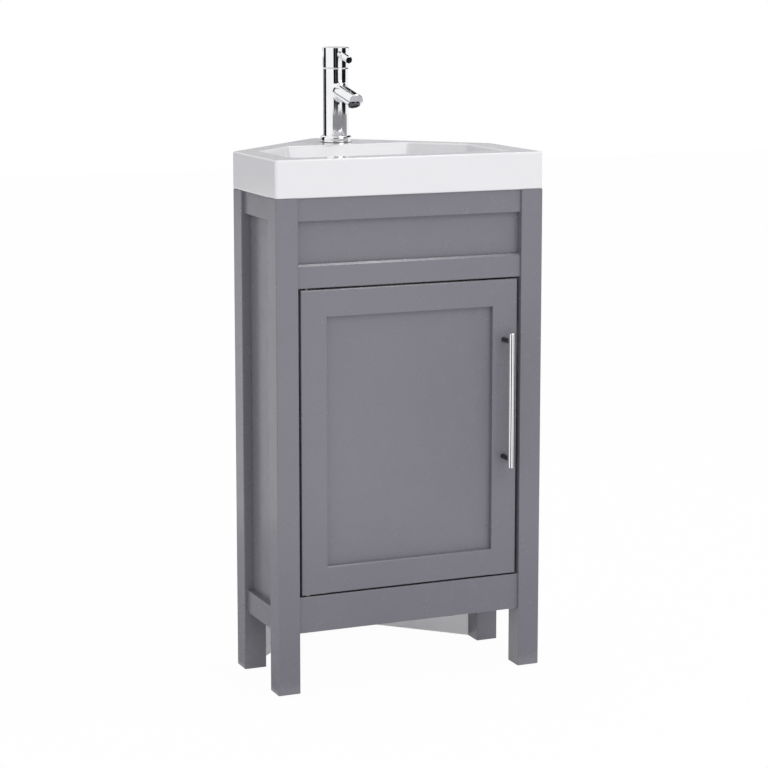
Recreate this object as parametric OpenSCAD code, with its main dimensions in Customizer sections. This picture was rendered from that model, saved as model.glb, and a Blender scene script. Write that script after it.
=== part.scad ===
// Corner vanity unit: a painted cabinet on four square legs, a five-sided basin top and a mono mixer tap.
// The front faces -Y, +X is to the right of someone facing it and +Z is up. Sizes are in millimetres.
// Working coordinates have Y = 0 on the front face of the front posts, and seat() moves them to the origin.
// Most pieces are drawn on the right-hand side, and on_left() mirrors them.

/* [Overall] */
// Width across the outside of the posts
unit_w = 458; // [430:1:540]
// Depth of the two short sides that stand square to the front
side_d = 194; // [180:1:240]
// Height of the cabinet from the floor to the underside of the basin
cabinet_h = 790; // [740:1:860]
// Free height of the legs below the bottom rails
leg_h = 98; // [60:1:140]

/* [Posts and rails] */
// Side of the square section of the four posts
post_w = 37; // [34:0.5:42]
// Radius of the eased long edges of the posts
post_edge = 1.5; // [0.5:0.25:3]
// Thickness of the rails
rail_t = 20; // [18:0.5:22]
// Distance of the rails and the door behind the faces of the posts
rail_setback = 5; // [3:0.5:7]
// Radius of the eased front edges of rails and doors
rail_edge = 1; // [0.5:0.25:2]
// Height of the top rails
top_rail_h = 36.5; // [36:0.5:50]
// Visible height of the fixed front panel
fixed_panel_h = 67; // [50:1:90]
// Height of the rail above the door
mid_rail_h = 37.5; // [37:0.5:50]
// Height of the rail below the door
front_bottom_rail_h = 58.5; // [52:0.5:80]
// Height of the bottom rail of each side
side_bottom_rail_h = 37; // [36:1:44]
// Side of the square section of the post at the back corner
corner_post_w = 35; // [30:1:40]
// Flat cut off the outer edge of the back corner post, measured from the edge
corner_cut = 6; // [5:0.5:9]

/* [Panels] */
// Thickness of the recessed painted panels
panel_t = 9; // [8:0.5:10]
// Distance of the recessed panels behind the faces of the posts
panel_setback = 15; // [14:0.5:16]
// Depth of the grooves that hold the panels
groove_d = 6; // [4:0.5:6]
// Clearance on each side of a panel in its groove
groove_fit = 0.1; // [0.05:0.05:0.2]
// Thickness of the two back panels
back_t = 12; // [9:0.5:14]
// Width of the pipe cut-out in each back panel
pipe_cut_w = 110; // [70:5:130]
// Height of the pipe cut-out in each back panel
pipe_cut_h = 130; // [100:5:260]
// Height of the lower edge of the pipe cut-outs above the floor
pipe_cut_z = 450; // [440:5:460]
// Corner radius of the pipe cut-outs
pipe_cut_r = 18; // [8:1:30]
// Diameter of the wall fixing holes in the back panels
wall_hole_d = 6; // [4:0.5:8]
// Distance of the wall fixing holes below the top of the cabinet
wall_hole_drop = 60; // [40:5:90]

/* [Inside the cabinet] */
// Thickness of the floor and the shelf
board_t = 16; // [12:1:18]
// Side of the square section of the cleats under the floor
cleat_w = 20; // [16:1:22]
// Length of the cleat behind the front bottom rail
front_cleat_l = 300; // [200:10:340]
// Width of each glued face of the triangular back battens
batten_w = 36; // [26:1:36]
// Height of the upper face of the shelf above the floor
shelf_z = 410; // [330:5:430]
// Distance of the front edge of the shelf behind the faces of the front posts
shelf_front = 60; // [50:5:80]
// Clearance round the shelf
shelf_gap = 1.5; // [1:0.25:2.5]
// Diameter of the part of a shelf pin inside the panel
shelf_pin_d = 5; // [4:0.5:6]
// Diameter of the part of a shelf pin that carries the shelf
shelf_pin_head_d = 7; // [6.5:0.5:9]
// Length of a shelf pin inside the panel
shelf_pin_in = 6; // [4:0.5:7]
// Length of a shelf pin outside the panel
shelf_pin_out = 9; // [7:0.5:12]
// Distance of the front pair of shelf pins behind the faces of the front posts
shelf_pin_y = 95; // [85:5:110]
// Distance of the rear pair of shelf pins from the back corner post
shelf_pin_back = 60; // [40:5:90]
// Diameter of the dowels in the rails
dowel_d = 8; // [6:1:8]
// Length of the dowels
dowel_l = 30; // [24:1:30]
// Spacing of the two dowels at each end of a rail
dowel_pitch = 14; // [12:0.5:14]
// Clearance round a dowel
dowel_fit = 0.05; // [0.02:0.01:0.1]
// Diameter of the glides under the posts
glide_d = 24; // [18:1:28]
// Height of a glide below the wood
glide_h = 1.5; // [1:0.25:3]
// Diameter of the pin of a glide
glide_pin_d = 3; // [2:0.5:4]
// Length of the pin of a glide
glide_pin_l = 14; // [8:1:18]

/* [Door] */
// Gap between the door and the rails above and below it
door_gap = 3; // [2.5:0.25:4]
// Gap between the door and the post on the hinge side
hinge_gap = 5.5; // [4.5:0.25:6]
// Gap between the door and the post on the handle side
latch_gap = 5; // [3.5:0.25:5.5]
// Thickness of the door frame
door_t = 18; // [17:0.5:19]
// Width of the stiles and rails of the door frame
door_frame_w = 43; // [40:0.5:55]
// Thickness of the panel of the door
door_panel_t = 6; // [5:0.5:6.5]
// Depth of the face of the panel behind the face of the door frame
door_recess = 9; // [7:0.5:9.5]
// Depth of the groove in the door frame
door_groove_d = 8; // [6:0.5:10]
// Distance of the pivot pins from the hinge edge of the door
pivot_inset = 12; // [10:0.5:12]
// Diameter of the pivot pins
pivot_d = 6; // [5:0.5:6.5]
// Running clearance of a pivot pin in its bush
pivot_fit = 0.08; // [0.04:0.02:0.1]
// Length of a pivot pin inside the door
pivot_in = 22; // [14:1:30]
// Outer diameter of the pivot bushes
bush_d = 10; // [9.5:0.5:11]
// Depth of the pivot bushes in the rails
bush_l = 6.5; // [5:0.5:7]
// Diameter of the flange of a pivot bush and of the shoulder of the lower pin
bush_flange_d = 14; // [12:0.5:15]
// Thickness of the flange of a pivot bush
bush_flange_t = 1; // [0.8:0.1:1.1]

/* [Handle and catch] */
// Diameter of the handle bar
bar_d = 11; // [10:0.5:14]
// Length of the handle bar
bar_l = 220; // [206:2:300]
// Spacing of the two handle pillars
pillar_pitch = 192; // [160:32:192]
// Diameter of the handle pillars
pillar_d = 9; // [6:0.5:9.5]
// Distance of the middle of the bar from the face of the door
bar_reach = 30; // [26:1:36]
// Distance of the middle of the handle below the top of the door
handle_drop = 194; // [146:1:246]
// Distance of the handle from the handle edge of the door
handle_inset = 23; // [18:0.5:24]
// Diameter of the handle screws
handle_screw_d = 4; // [3:0.5:5]
// Length of the magnetic catch
catch_l = 46; // [40:1:56]
// Width of the magnetic catch from the post
catch_w = 14; // [12:0.5:16]
// Depth of the magnetic catch from front to back
catch_d = 13; // [11:0.5:16]
// Distance of the upper end of the catch below the mid rail
catch_drop = 28; // [23:1:38]
// Thickness of the strike plate
strike_t = 1.2; // [0.8:0.1:1.5]

/* [Basin] */
// Height of the edge of the basin
basin_h = 60; // [50:1:70]
// Thickness of the deck and the edge wall of the basin
basin_wall = 12; // [9:0.5:14]
// Radius of the upright edges of the basin
basin_corner_r = 4; // [3:0.5:8]
// Radius of the upright edge at the back corner of the basin
basin_apex_r = 10; // [6:0.5:12]
// Radius of the upper and lower edges of the basin
basin_edge_r = 2.5; // [1:0.25:2.75]
// Width of the rim in front of the bowl
rim_front = 39; // [34:1:50]
// Width of the rim at each side of the bowl
rim_side = 43; // [36:1:60]
// Width of the rim along the two slanted sides
rim_slant = 33; // [30:1:45]
// Size of the bowl from front to back
bowl_d = 226; // [200:1:230]
// Depth of the bowl
bowl_depth = 95; // [85:1:110]
// Radius of the upright corners of the bowl
bowl_corner_r = 18; // [12:1:24]
// Radius between the walls and the floor of the bowl
bowl_floor_r = 30; // [25:1:34]
// Lean of the bowl walls from the rim to the floor
bowl_draft = 10; // [6:1:14]
// Thickness of the shell of the bowl
bowl_wall = 9; // [7:0.5:10]

/* [Waste] */
// Outer diameter of the threaded waste tail, G 1 1/4
waste_d = 41.9; // [40:0.1:44]
// Bore of the waste tail
waste_bore = 36; // [32:0.5:37]
// Length of the waste below the floor of the bowl
waste_l = 75; // [60:1:90]
// Diameter of the waste flange
waste_flange_d = 63; // [58:1:66]
// Thickness of the waste flange
waste_flange_t = 2.3; // [1.8:0.1:3]
// Diameter of the waste hole in the basin
waste_hole_d = 45; // [44.5:0.5:48]
// Diameter of the push plug
plug_d = 58; // [50:1:60]
// Height of the domed top of the push plug
plug_dome = 3.5; // [2:0.5:5]
// Diameter of the stem of the push plug
plug_stem_d = 8; // [6:0.5:9]
// Length of the stem of the push plug
plug_stem_l = 34; // [28:1:45]
// Running clearance of the stem in its guide
plug_fit = 0.08; // [0.04:0.02:0.1]

/* [Tap body] */
// Distance of the tap behind the bowl
tap_behind_bowl = 55; // [50:1:60]
// Height of the tap above the basin
tap_h = 159; // [150:1:170]
// Radius of the body
tap_body_r = 22; // [21:0.25:22.25]
// Radius of the base ring
tap_base_r = 26.5; // [25:0.25:29]
// Height of the base ring
tap_base_h = 11; // [8:0.5:14]
// Diameter of the tap hole in the basin
tap_hole_d = 35; // [34:0.5:37]
// Height of the spout axis on the tap axis above the basin
spout_z = 90; // [86:1:93]
// Radius of the spout
spout_r = 12.5; // [11.5:0.25:13]
// Reach of the end of the spout in front of the tap axis
spout_reach = 91; // [89:1:92]
// Fall of the spout in degrees
spout_fall = 11; // [9:0.5:13]
// Radius of the water way in the spout
spout_bore_r = 7; // [5:0.5:8]
// Reach of the middle of the outlet in front of the tap axis
outlet_reach = 82; // [80:0.5:83]
// Height of the middle of the outlet above the basin
outlet_z = 65; // [64:0.5:66]
// Forward lean of the outlet in degrees
outlet_lean = 27.5; // [24:0.5:30]
// Radius of the head of the aerator
aerator_r = 10; // [9:0.25:10.5]
// Thickness of the head of the aerator
aerator_t = 2.4; // [2:0.1:3]
// Radius of the threaded part of the aerator
aerator_thread_r = 8.2; // [7.5:0.1:8.4]
// Length of the threaded part of the aerator
aerator_thread_l = 6; // [4:0.5:7]

/* [Tap handle] */
// Radius of the cap
cap_r = 22.5; // [22:0.25:24]
// Height of the cap
cap_h = 34; // [32:0.5:38]
// Width of the flat rim under the cap
cap_rim = 1.3; // [1:0.1:1.8]
// Distance of the tilt axis below the cap
tilt_drop = 15; // [14:0.5:16]
// Gap between the dome and the hollow of the cap
dome_gap = 0.4; // [0.3:0.1:0.6]
// Radius of the lever
lever_r = 6; // [5:0.25:6.5]
// Reach of the lever tip in front of the tap axis
lever_reach = 59; // [50:1:70]
// Distance of the lever axis below the top of the cap, on the tap axis
lever_drop = 7.2; // [7:0.1:9]
// Fall of the lever in degrees
lever_fall = 12; // [8:0.5:14]
// Radius of the cartridge seat in the body
cartridge_r = 18; // [17:0.25:18.5]
// Height of the cartridge seat above the basin
cartridge_z = 72; // [68:1:74]
// Radius of the turning core of the cartridge
core_r = 12; // [11.5:0.25:12.5]
// Radius of the stem of the cartridge
stem_r = 3.5; // [3:0.25:3.5]
// Radius of the tilt pin
tilt_pin_r = 1.5; // [1.25:0.25:2]
// Radius of the two water inlets
inlet_r = 4.5; // [4:0.25:5]
// Distance of the water inlets from the middle of the tap
inlet_x = 8; // [7.5:0.25:8.5]
// Diameter of the fixing stud
stud_d = 8; // [6:1:8]
// Length of the fixing stud below the basin top
stud_l = 62; // [50:1:80]

/* [Hidden] */
$fn = 48;
root2 = sqrt(2);
// Clearance of pieces that stand next to each other
seat_gap = 0.3;
// Overrun of a cut past the surface it opens
over = 1;
// Radial clearance of the turning parts of the tap
run_fit = 0.08;
half_w = unit_w / 2;
// On the two walls behind the unit, x + y has this value
wall_sum = half_w + side_d;
inner_x = half_w - post_w;
panel_x = half_w - panel_setback - panel_t;
rail_mid_y = rail_setback + rail_t / 2;
side_rail_mid_x = half_w - rail_setback - rail_t / 2;
rear_post_y = side_d - post_w;
tongue = groove_d - seat_gap;

// Heights of the front rails and the opening
top_rail_z = cabinet_h - top_rail_h;
mid_rail_z = top_rail_z - fixed_panel_h - mid_rail_h;
mid_rail_top = mid_rail_z + mid_rail_h;
opening_z = leg_h + front_bottom_rail_h;
side_panel_z = leg_h + side_bottom_rail_h;
floor_top = side_panel_z + board_t;
front_rows = [[leg_h, front_bottom_rail_h], [mid_rail_z, mid_rail_h], [top_rail_z, top_rail_h]];
side_rows = [[leg_h, side_bottom_rail_h], [top_rail_z, top_rail_h]];

// Length of a back panel between the rear post and the back corner post
back_l = root2 * half_w - post_w / root2 - corner_post_w;
shelf_pin_z = shelf_z - board_t - shelf_pin_head_d / 2;

// Door
door_x0 = -inner_x + hinge_gap;
door_x1 = inner_x - latch_gap;
door_w = door_x1 - door_x0;
door_z0 = opening_z + door_gap;
door_z1 = mid_rail_z - door_gap;
door_h = door_z1 - door_z0;
door_back = rail_setback + door_t;
door_tongue = door_groove_d - seat_gap;
pivot_x = door_x0 + pivot_inset;
pivot_y = rail_setback + door_t / 2;
handle_x = door_x1 - handle_inset;
handle_z = door_z1 - handle_drop;
pillar_spigot_d = 4;
strike_w = catch_w - 2;
strike_x = door_x1 - strike_w - 2;
strike_pin_r = 2;
strike_pin_l = 8;
catch_y = door_back + strike_t + seat_gap;
catch_z = mid_rail_z - catch_drop - catch_l;
screw_head_r = handle_screw_d;
screw_head_h = handle_screw_d * 0.6;
screw_grip = 9;
catch_screw_r = 1.75;
catch_screw_l = 24;

// Basin
basin_top = cabinet_h + basin_h;
bowl_x = half_w - rim_side;
bowl_back = rim_front + bowl_d;
bowl_sum = wall_sum - rim_slant * root2;
bowl_floor_z = basin_top - bowl_depth;
bowl_bottom_z = bowl_floor_z - bowl_wall;
bowl_plan = [[bowl_x, rim_front], [bowl_x, bowl_sum - bowl_x], [bowl_sum - bowl_back, bowl_back]];
waste_y = rim_front + bowl_d / 2;
waste_seat = waste_flange_t + 0.2;
seal_t = 4;
nut_t = 8;
// Undercut between the thread of the trap and the backnut, and the chamfer at the end of the tail
tail_groove_w = 2;
tail_groove_depth = 0.75;
tail_chamfer = 0.8;
tap_y = bowl_back + tap_behind_bowl;

// Tap, in heights above the basin
seam_z = tap_h - cap_h;
tilt_z = seam_z - tilt_drop;
cap_hollow_r = sqrt(pow(cap_r - cap_rim, 2) + pow(tilt_drop, 2));
dome_r = cap_hollow_r - dome_gap;
body_top = tilt_z + sqrt(pow(dome_r, 2) - pow(tap_body_r, 2));
core_top = tilt_z + 18;
core_bottom = tilt_z - 13.5;
housing_top = tilt_z + 6;
stem_top = tilt_z + 38;
tilt_max = 18;
slot_back = (core_top - tilt_z) * tan(tilt_max) + stem_r + 0.9;
slot_front = stem_r + 1.6;
grub_z = tilt_z + 32;
// Depth of the threaded part of the water inlets, and the radius of the water ways above it
inlet_l = 16;
inlet_way_r = 3;
grub_r = 2;
stud_y = 10.5;
washer_t = 2.5;

// Middle of the whole object from front to back: the handle bar in front, the basin corner behind
front_y = rail_setback - bar_reach - bar_d / 2;
back_y = wall_sum - (root2 - 1) * basin_apex_r;
origin_y = (front_y + back_y) / 2;

paint = [0.50, 0.50, 0.53];
paint_panel = [0.55, 0.55, 0.58];
board = [0.78, 0.78, 0.79];
timber = [0.72, 0.58, 0.40];
glaze = [0.95, 0.95, 0.95];
chrome = [0.75, 0.77, 0.80];
steel = [0.60, 0.61, 0.63];
brass = [0.78, 0.64, 0.34];
rubber = [0.12, 0.12, 0.13];
plastic = [0.86, 0.86, 0.84];

// ---------- Shared shapes ----------

module seat() {
    translate([0, -origin_y, 0]) children();
}

module on_left() {
    mirror([1, 0, 0]) children();
}

module both_sides() {
    children();
    on_left() children();
}

// A rectangle in plan with round corners, as squares and circles so that the edges stay true curves
module soft_rectangle(w, d, r) {
    translate([r, 0]) square([w - 2 * r, d]);
    translate([0, r]) square([w, d - 2 * r]);
    for (x = [r, w - r], y = [r, d - r]) translate([x, y]) circle(r = r, $fn = 24);
}

module soft_post(w, d, h, r) {
    linear_extrude(h) soft_rectangle(w, d, r);
}

// Section of a board that lies along X: its two front edges are eased, its back is square
module eased_section(t, h, r) {
    translate([r, 0]) square([t - r, h]);
    translate([0, r]) square([t, h - 2 * r]);
    for (z = [r, h - r]) translate([r, z]) circle(r = r, $fn = 24);
}

// A board along X from x0 to x1, with its front face at y = 0 and its lower edge at z = 0
module eased_board(x0, x1, t, h, r) {
    translate([x0, 0, 0]) rotate([90, 0, 90]) linear_extrude(x1 - x0) eased_section(t, h, r);
}

// Turns the plan so that local X runs from the rear post to the back corner, and local -Y faces the wall
module back_frame() {
    translate([inner_x, side_d, 0]) rotate([0, 0, 135]) children();
}

// ---------- Dowels, shared by the rails and the posts ----------

module front_dowels(r, l) {
    for (row = front_rows, s = [-1, 1])
        translate([inner_x, rail_mid_y, row[0] + row[1] / 2 + s * dowel_pitch / 2])
            rotate([0, 90, 0]) cylinder(r = r, h = l, center = true, $fn = 24);
}

module side_dowels(r, l) {
    for (row = side_rows, y = [post_w, rear_post_y], s = [-1, 1])
        translate([side_rail_mid_x, y, row[0] + row[1] / 2 + s * dowel_pitch / 2])
            rotate([90, 0, 0]) cylinder(r = r, h = l, center = true, $fn = 24);
}

module front_dowel_bores() {
    front_dowels(dowel_d / 2 + dowel_fit, dowel_l + 2 * seat_gap);
}

module side_dowel_bores() {
    side_dowels(dowel_d / 2 + dowel_fit, dowel_l + 2 * seat_gap);
}

module rail_dowels() {
    color(timber) seat() both_sides() {
        front_dowels(dowel_d / 2, dowel_l);
        side_dowels(dowel_d / 2, dowel_l);
    }
}

// ---------- Grooves, shared by the panels and what holds them ----------

module front_panel_slab(grow, depth) {
    translate([-inner_x - depth, panel_setback - grow, mid_rail_top - depth])
        cube([2 * (inner_x + depth), panel_t + 2 * grow, fixed_panel_h + 2 * depth]);
}

module side_panel_slab(grow, depth) {
    translate([panel_x - grow, post_w - depth, side_panel_z - depth])
        cube([panel_t + 2 * grow, rear_post_y - post_w + 2 * depth, top_rail_z - side_panel_z + 2 * depth]);
}

module back_panel_tongue(grow, depth) {
    back_frame() translate([back_l - over, -back_t - grow, glide_h - over])
        cube([depth + over, back_t + 2 * grow, cabinet_h + 2 * over]);
}

// ---------- Posts ----------

module glide_bore(x, y) {
    translate([x, y, 0]) cylinder(d = glide_pin_d + 0.1, h = glide_h + glide_pin_l + seat_gap, $fn = 24);
}

module front_post() {
    difference() {
        translate([inner_x, 0, glide_h]) soft_post(post_w, post_w, cabinet_h - glide_h, post_edge);
        front_panel_slab(groove_fit, groove_d);
        side_panel_slab(groove_fit, groove_d);
        front_dowel_bores();
        side_dowel_bores();
        glide_bore(half_w - post_w / 2, post_w / 2);
    }
}

module rear_post() {
    difference() {
        translate([inner_x, rear_post_y, glide_h]) soft_post(post_w, post_w, cabinet_h - glide_h, post_edge);
        side_panel_slab(groove_fit, groove_d);
        side_dowel_bores();
        glide_bore(half_w - post_w / 2, side_d - post_w / 2);
    }
}

module front_left_post() {
    color(paint) seat() on_left() front_post();
}

module front_right_post() {
    color(paint) seat() difference() {
        front_post();
        catch_screw_rods(0.8 * catch_screw_r);
    }
}

module rear_left_post() {
    color(paint) seat() on_left() rear_post();
}

module rear_right_post() {
    color(paint) seat() rear_post();
}

module back_corner_post() {
    color(board) seat() difference() {
        translate([0, wall_sum - root2 * corner_post_w, glide_h]) rotate([0, 0, 45])
            cube([corner_post_w, corner_post_w, cabinet_h - glide_h]);
        translate([-post_w, wall_sum - corner_cut, 0]) cube([2 * post_w, post_w, cabinet_h + over]);
        both_sides() back_panel_tongue(groove_fit, groove_d);
        glide_bore(0, wall_sum - corner_post_w / root2);
    }
}

module foot_glide() {
    cylinder(d = glide_d, h = glide_h);
    cylinder(d = glide_pin_d, h = glide_h + glide_pin_l, $fn = 24);
}

module foot_glides() {
    color(plastic) seat() {
        both_sides() {
            translate([half_w - post_w / 2, post_w / 2, 0]) foot_glide();
            translate([half_w - post_w / 2, side_d - post_w / 2, 0]) foot_glide();
        }
        translate([0, wall_sum - corner_post_w / root2, 0]) foot_glide();
    }
}

// ---------- Rails and recessed panels ----------

module front_rail(z, h) {
    difference() {
        translate([0, rail_setback, z]) eased_board(-inner_x, inner_x, rail_t, h, rail_edge);
        both_sides() front_dowel_bores();
        front_panel_slab(groove_fit, groove_d);
    }
}

module front_top_rail() {
    color(paint) seat() front_rail(top_rail_z, top_rail_h);
}

module front_mid_rail() {
    color(paint) seat() difference() {
        front_rail(mid_rail_z, mid_rail_h);
        translate([pivot_x, pivot_y, mid_rail_z - over]) cylinder(d = bush_d, h = bush_l + over);
    }
}

module front_bottom_rail() {
    color(paint) seat() difference() {
        front_rail(leg_h, front_bottom_rail_h);
        translate([pivot_x, pivot_y, opening_z - bush_l]) cylinder(d = bush_d, h = bush_l + over);
    }
}

module front_fixed_panel() {
    color(paint_panel) seat() front_panel_slab(0, tongue);
}

// A side rail is the same board turned to face the side
module side_rail(z, h) {
    difference() {
        translate([half_w - rail_setback, 0, z]) rotate([0, 0, 90])
            eased_board(post_w, rear_post_y, rail_t, h, rail_edge);
        side_dowel_bores();
        side_panel_slab(groove_fit, groove_d);
    }
}

module side_panel() {
    difference() {
        side_panel_slab(0, tongue);
        shelf_side_pin(seat_gap / 6, seat_gap);
    }
}

module left_top_rail() {
    color(paint) seat() on_left() side_rail(top_rail_z, top_rail_h);
}

module right_top_rail() {
    color(paint) seat() side_rail(top_rail_z, top_rail_h);
}

module left_bottom_rail() {
    color(paint) seat() on_left() side_rail(leg_h, side_bottom_rail_h);
}

module right_bottom_rail() {
    color(paint) seat() side_rail(leg_h, side_bottom_rail_h);
}

module left_side_panel() {
    color(paint_panel) seat() on_left() side_panel();
}

module right_side_panel() {
    color(paint_panel) seat() side_panel();
}

// ---------- Back ----------

module pipe_cut() {
    translate([(back_l - pipe_cut_w) / 2, over, pipe_cut_z]) rotate([90, 0, 0])
        linear_extrude(back_t + 2 * over) soft_rectangle(pipe_cut_w, pipe_cut_h, pipe_cut_r);
}

module wall_hole() {
    translate([back_l / 2, over, cabinet_h - wall_hole_drop]) rotate([90, 0, 0])
        cylinder(d = wall_hole_d, h = back_t + 2 * over);
}

module back_panel() {
    difference() {
        back_frame() difference() {
            translate([0, 0, glide_h]) linear_extrude(cabinet_h - glide_h)
                polygon([[0, 0], [-back_t, -back_t], [back_l + tongue, -back_t], [back_l + tongue, 0]]);
            pipe_cut();
            wall_hole();
        }
        shelf_back_pin(seat_gap / 6, seat_gap);
    }
}

module left_back_panel() {
    color(board) seat() on_left() back_panel();
}

module right_back_panel() {
    color(board) seat() back_panel();
}

// A long triangular block glued into the corner between the rear post and the back panel
module back_batten() {
    translate([0, 0, floor_top + seat_gap]) linear_extrude(top_rail_z - floor_top - seat_gap)
        polygon([[inner_x, side_d], [inner_x, side_d - batten_w],
                 [inner_x - batten_w / root2, side_d + batten_w / root2]]);
}

module left_back_batten() {
    color(timber) seat() on_left() back_batten();
}

module right_back_batten() {
    color(timber) seat() back_batten();
}

// ---------- Floor, shelf and what carries them ----------

function mirrored(points) = [for (i = [len(points) - 1 : -1 : 0]) [-points[i][0], points[i][1]]];

function floor_plan(g) = [
    [inner_x - g, rail_setback + rail_t + g], [inner_x - g, post_w + g],
    [panel_x - g, post_w + g], [panel_x - g, rear_post_y - g],
    [inner_x - g, rear_post_y - g], [inner_x - g, side_d - g * (root2 - 1)],
    [corner_post_w / root2 - post_w / 2, wall_sum - corner_post_w / root2 - post_w / 2 - g * root2],
    [0, wall_sum - root2 * corner_post_w - g * root2]
];

function shelf_plan(g) = [
    [panel_x - g, shelf_front], [panel_x - g, rear_post_y - g], [inner_x - g, rear_post_y - g],
    [inner_x - batten_w / root2 - g, side_d + batten_w / root2 - g],
    [corner_post_w / root2 - post_w / 2, wall_sum - corner_post_w / root2 - post_w / 2 - g * root2],
    [0, wall_sum - root2 * corner_post_w - g * root2]
];

module cabinet_floor() {
    color(board) seat() translate([0, 0, side_panel_z]) linear_extrude(board_t)
        polygon(concat(floor_plan(seat_gap), mirrored(floor_plan(seat_gap))));
}

module side_floor_cleats() {
    color(timber) seat() both_sides()
        translate([half_w - rail_setback - rail_t - cleat_w, post_w + seat_gap, side_panel_z - cleat_w])
            cube([cleat_w, rear_post_y - post_w - 2 * seat_gap, cleat_w]);
}

module front_floor_cleat() {
    color(timber) seat() translate([-front_cleat_l / 2, rail_setback + rail_t, side_panel_z - cleat_w])
        cube([front_cleat_l, cleat_w, cleat_w]);
}

module inner_shelf() {
    color(board) seat() translate([0, 0, shelf_z - board_t]) linear_extrude(board_t)
        polygon(concat(shelf_plan(shelf_gap), mirrored(shelf_plan(shelf_gap))));
}

// A stepped pin along +X: its thin part starts at x = 0 and its thick part carries the shelf
module shelf_pin(grow, deep) {
    rotate([0, 90, 0]) translate([0, 0, -deep])
        cylinder(d = shelf_pin_d + 2 * grow, h = shelf_pin_in + deep + over, $fn = 24);
    rotate([0, 90, 0]) translate([0, 0, shelf_pin_in])
        cylinder(d = shelf_pin_head_d, h = shelf_pin_out, $fn = 24);
}

module shelf_side_pin(grow, deep) {
    translate([panel_x + shelf_pin_in, shelf_pin_y, shelf_pin_z]) rotate([0, 0, 180]) shelf_pin(grow, deep);
}

module shelf_back_pin(grow, deep) {
    back_frame() translate([back_l - shelf_pin_back, -shelf_pin_in, shelf_pin_z])
        rotate([0, 0, 90]) shelf_pin(grow, deep);
}

module shelf_pins() {
    color(steel) seat() both_sides() {
        shelf_side_pin(0, 0);
        shelf_back_pin(0, 0);
    }
}

// ---------- Door ----------

// A box of the door, given in X and Z, with the thickness and the front face of the frame
module door_slab(x0, x1, z0, z1, y0, y1) {
    translate([x0, y0, z0]) cube([x1 - x0, y1 - y0, z1 - z0]);
}

// The groove that runs round the inside of the frame, drawn as a slab that reaches into stiles and rails
module door_groove(grow, depth) {
    door_slab(door_x0 + door_frame_w - depth, door_x1 - door_frame_w + depth,
              door_z0 + door_frame_w - depth, door_z1 - door_frame_w + depth,
              rail_setback + door_recess - grow, rail_setback + door_recess + door_panel_t + grow);
}

// Tongues at both ends of a door rail, as thick as the panel
module door_tenons(z0, z1, grow, depth) {
    door_slab(door_x0 + door_frame_w - depth, door_x1 - door_frame_w + depth, z0, z1,
              rail_setback + door_recess - grow, rail_setback + door_recess + door_panel_t + grow);
}

// Section of a stile or rail of the door, from its front face and its outer edge. Only that edge is eased, so
// that stiles and rails meet flush under the paint.
module frame_section() {
    translate([rail_edge, 0]) square([door_t - rail_edge, door_frame_w]);
    translate([0, rail_edge]) square([door_t, door_frame_w - rail_edge]);
    translate([rail_edge, rail_edge]) circle(r = rail_edge, $fn = 24);
}

// Cuts the groove and the tenons' seats into an upright board of the door
module door_stile() {
    difference() {
        children();
        door_groove(groove_fit, door_groove_d);
        door_tenons(door_z0 - over, door_z1 + over, groove_fit, door_groove_d);
    }
}

module stile_board() {
    rotate([0, 0, 90]) linear_extrude(door_h) frame_section();
}

module rail_board() {
    rotate([90, 0, 90]) linear_extrude(door_x1 - door_x0 - 2 * door_frame_w) frame_section();
}

// Adds tongues at both ends of a level board of the door and cuts its groove
module door_rail(z) {
    difference() {
        union() {
            children();
            door_tenons(z, z + door_frame_w, 0, door_tongue);
        }
        door_groove(groove_fit, door_groove_d);
    }
}

module pivot_bore(z0, z1) {
    translate([pivot_x, pivot_y, z0]) cylinder(d = pivot_d, h = z1 - z0);
}

module door_hinge_stile() {
    color(paint) seat() difference() {
        door_stile() translate([door_x0, rail_setback, door_z0]) mirror([1, 0, 0]) stile_board();
        pivot_bore(door_z0 - over, door_z0 + pivot_in + seat_gap);
        pivot_bore(door_z1 - pivot_in - seat_gap, door_z1 + over);
    }
}

module at_pillars() {
    for (s = [-1, 1]) translate([handle_x, 0, handle_z + s * pillar_pitch / 2]) children();
}

module door_handle_stile() {
    color(paint) seat() difference() {
        door_stile() translate([door_x1, rail_setback, door_z0]) stile_board();
        at_pillars() translate([0, rail_setback - over, 0]) rotate([-90, 0, 0])
            cylinder(d = handle_screw_d + 0.2, h = door_t + 2 * over, $fn = 24);
        translate([strike_x + strike_w / 2, door_back - strike_pin_l - seat_gap, catch_z + catch_l / 2])
            rotate([-90, 0, 0]) cylinder(r = strike_pin_r, h = strike_pin_l + seat_gap + over, $fn = 24);
    }
}

module door_top_rail() {
    color(paint) seat() door_rail(door_z1 - door_frame_w)
        translate([door_x0 + door_frame_w, rail_setback, door_z1]) mirror([0, 0, 1]) rail_board();
}

module door_bottom_rail() {
    color(paint) seat() door_rail(door_z0)
        translate([door_x0 + door_frame_w, rail_setback, door_z0]) rail_board();
}

module door_panel() {
    color(paint_panel) seat() door_groove(0, door_tongue);
}

module lower_pivot_pin() {
    color(steel) seat() translate([pivot_x, pivot_y, 0]) {
        translate([0, 0, opening_z - bush_l + seat_gap])
            cylinder(d = pivot_d, h = door_z0 + pivot_in - opening_z + bush_l - seat_gap);
        translate([0, 0, opening_z + bush_flange_t + seat_gap / 3])
            cylinder(d = bush_flange_d - 2, h = door_gap - bush_flange_t - seat_gap / 3);
    }
}

module upper_pivot_pin() {
    color(steel) seat() translate([pivot_x, pivot_y, door_z1 - pivot_in])
        cylinder(d = pivot_d, h = pivot_in + door_gap + bush_l - seat_gap);
}

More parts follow.
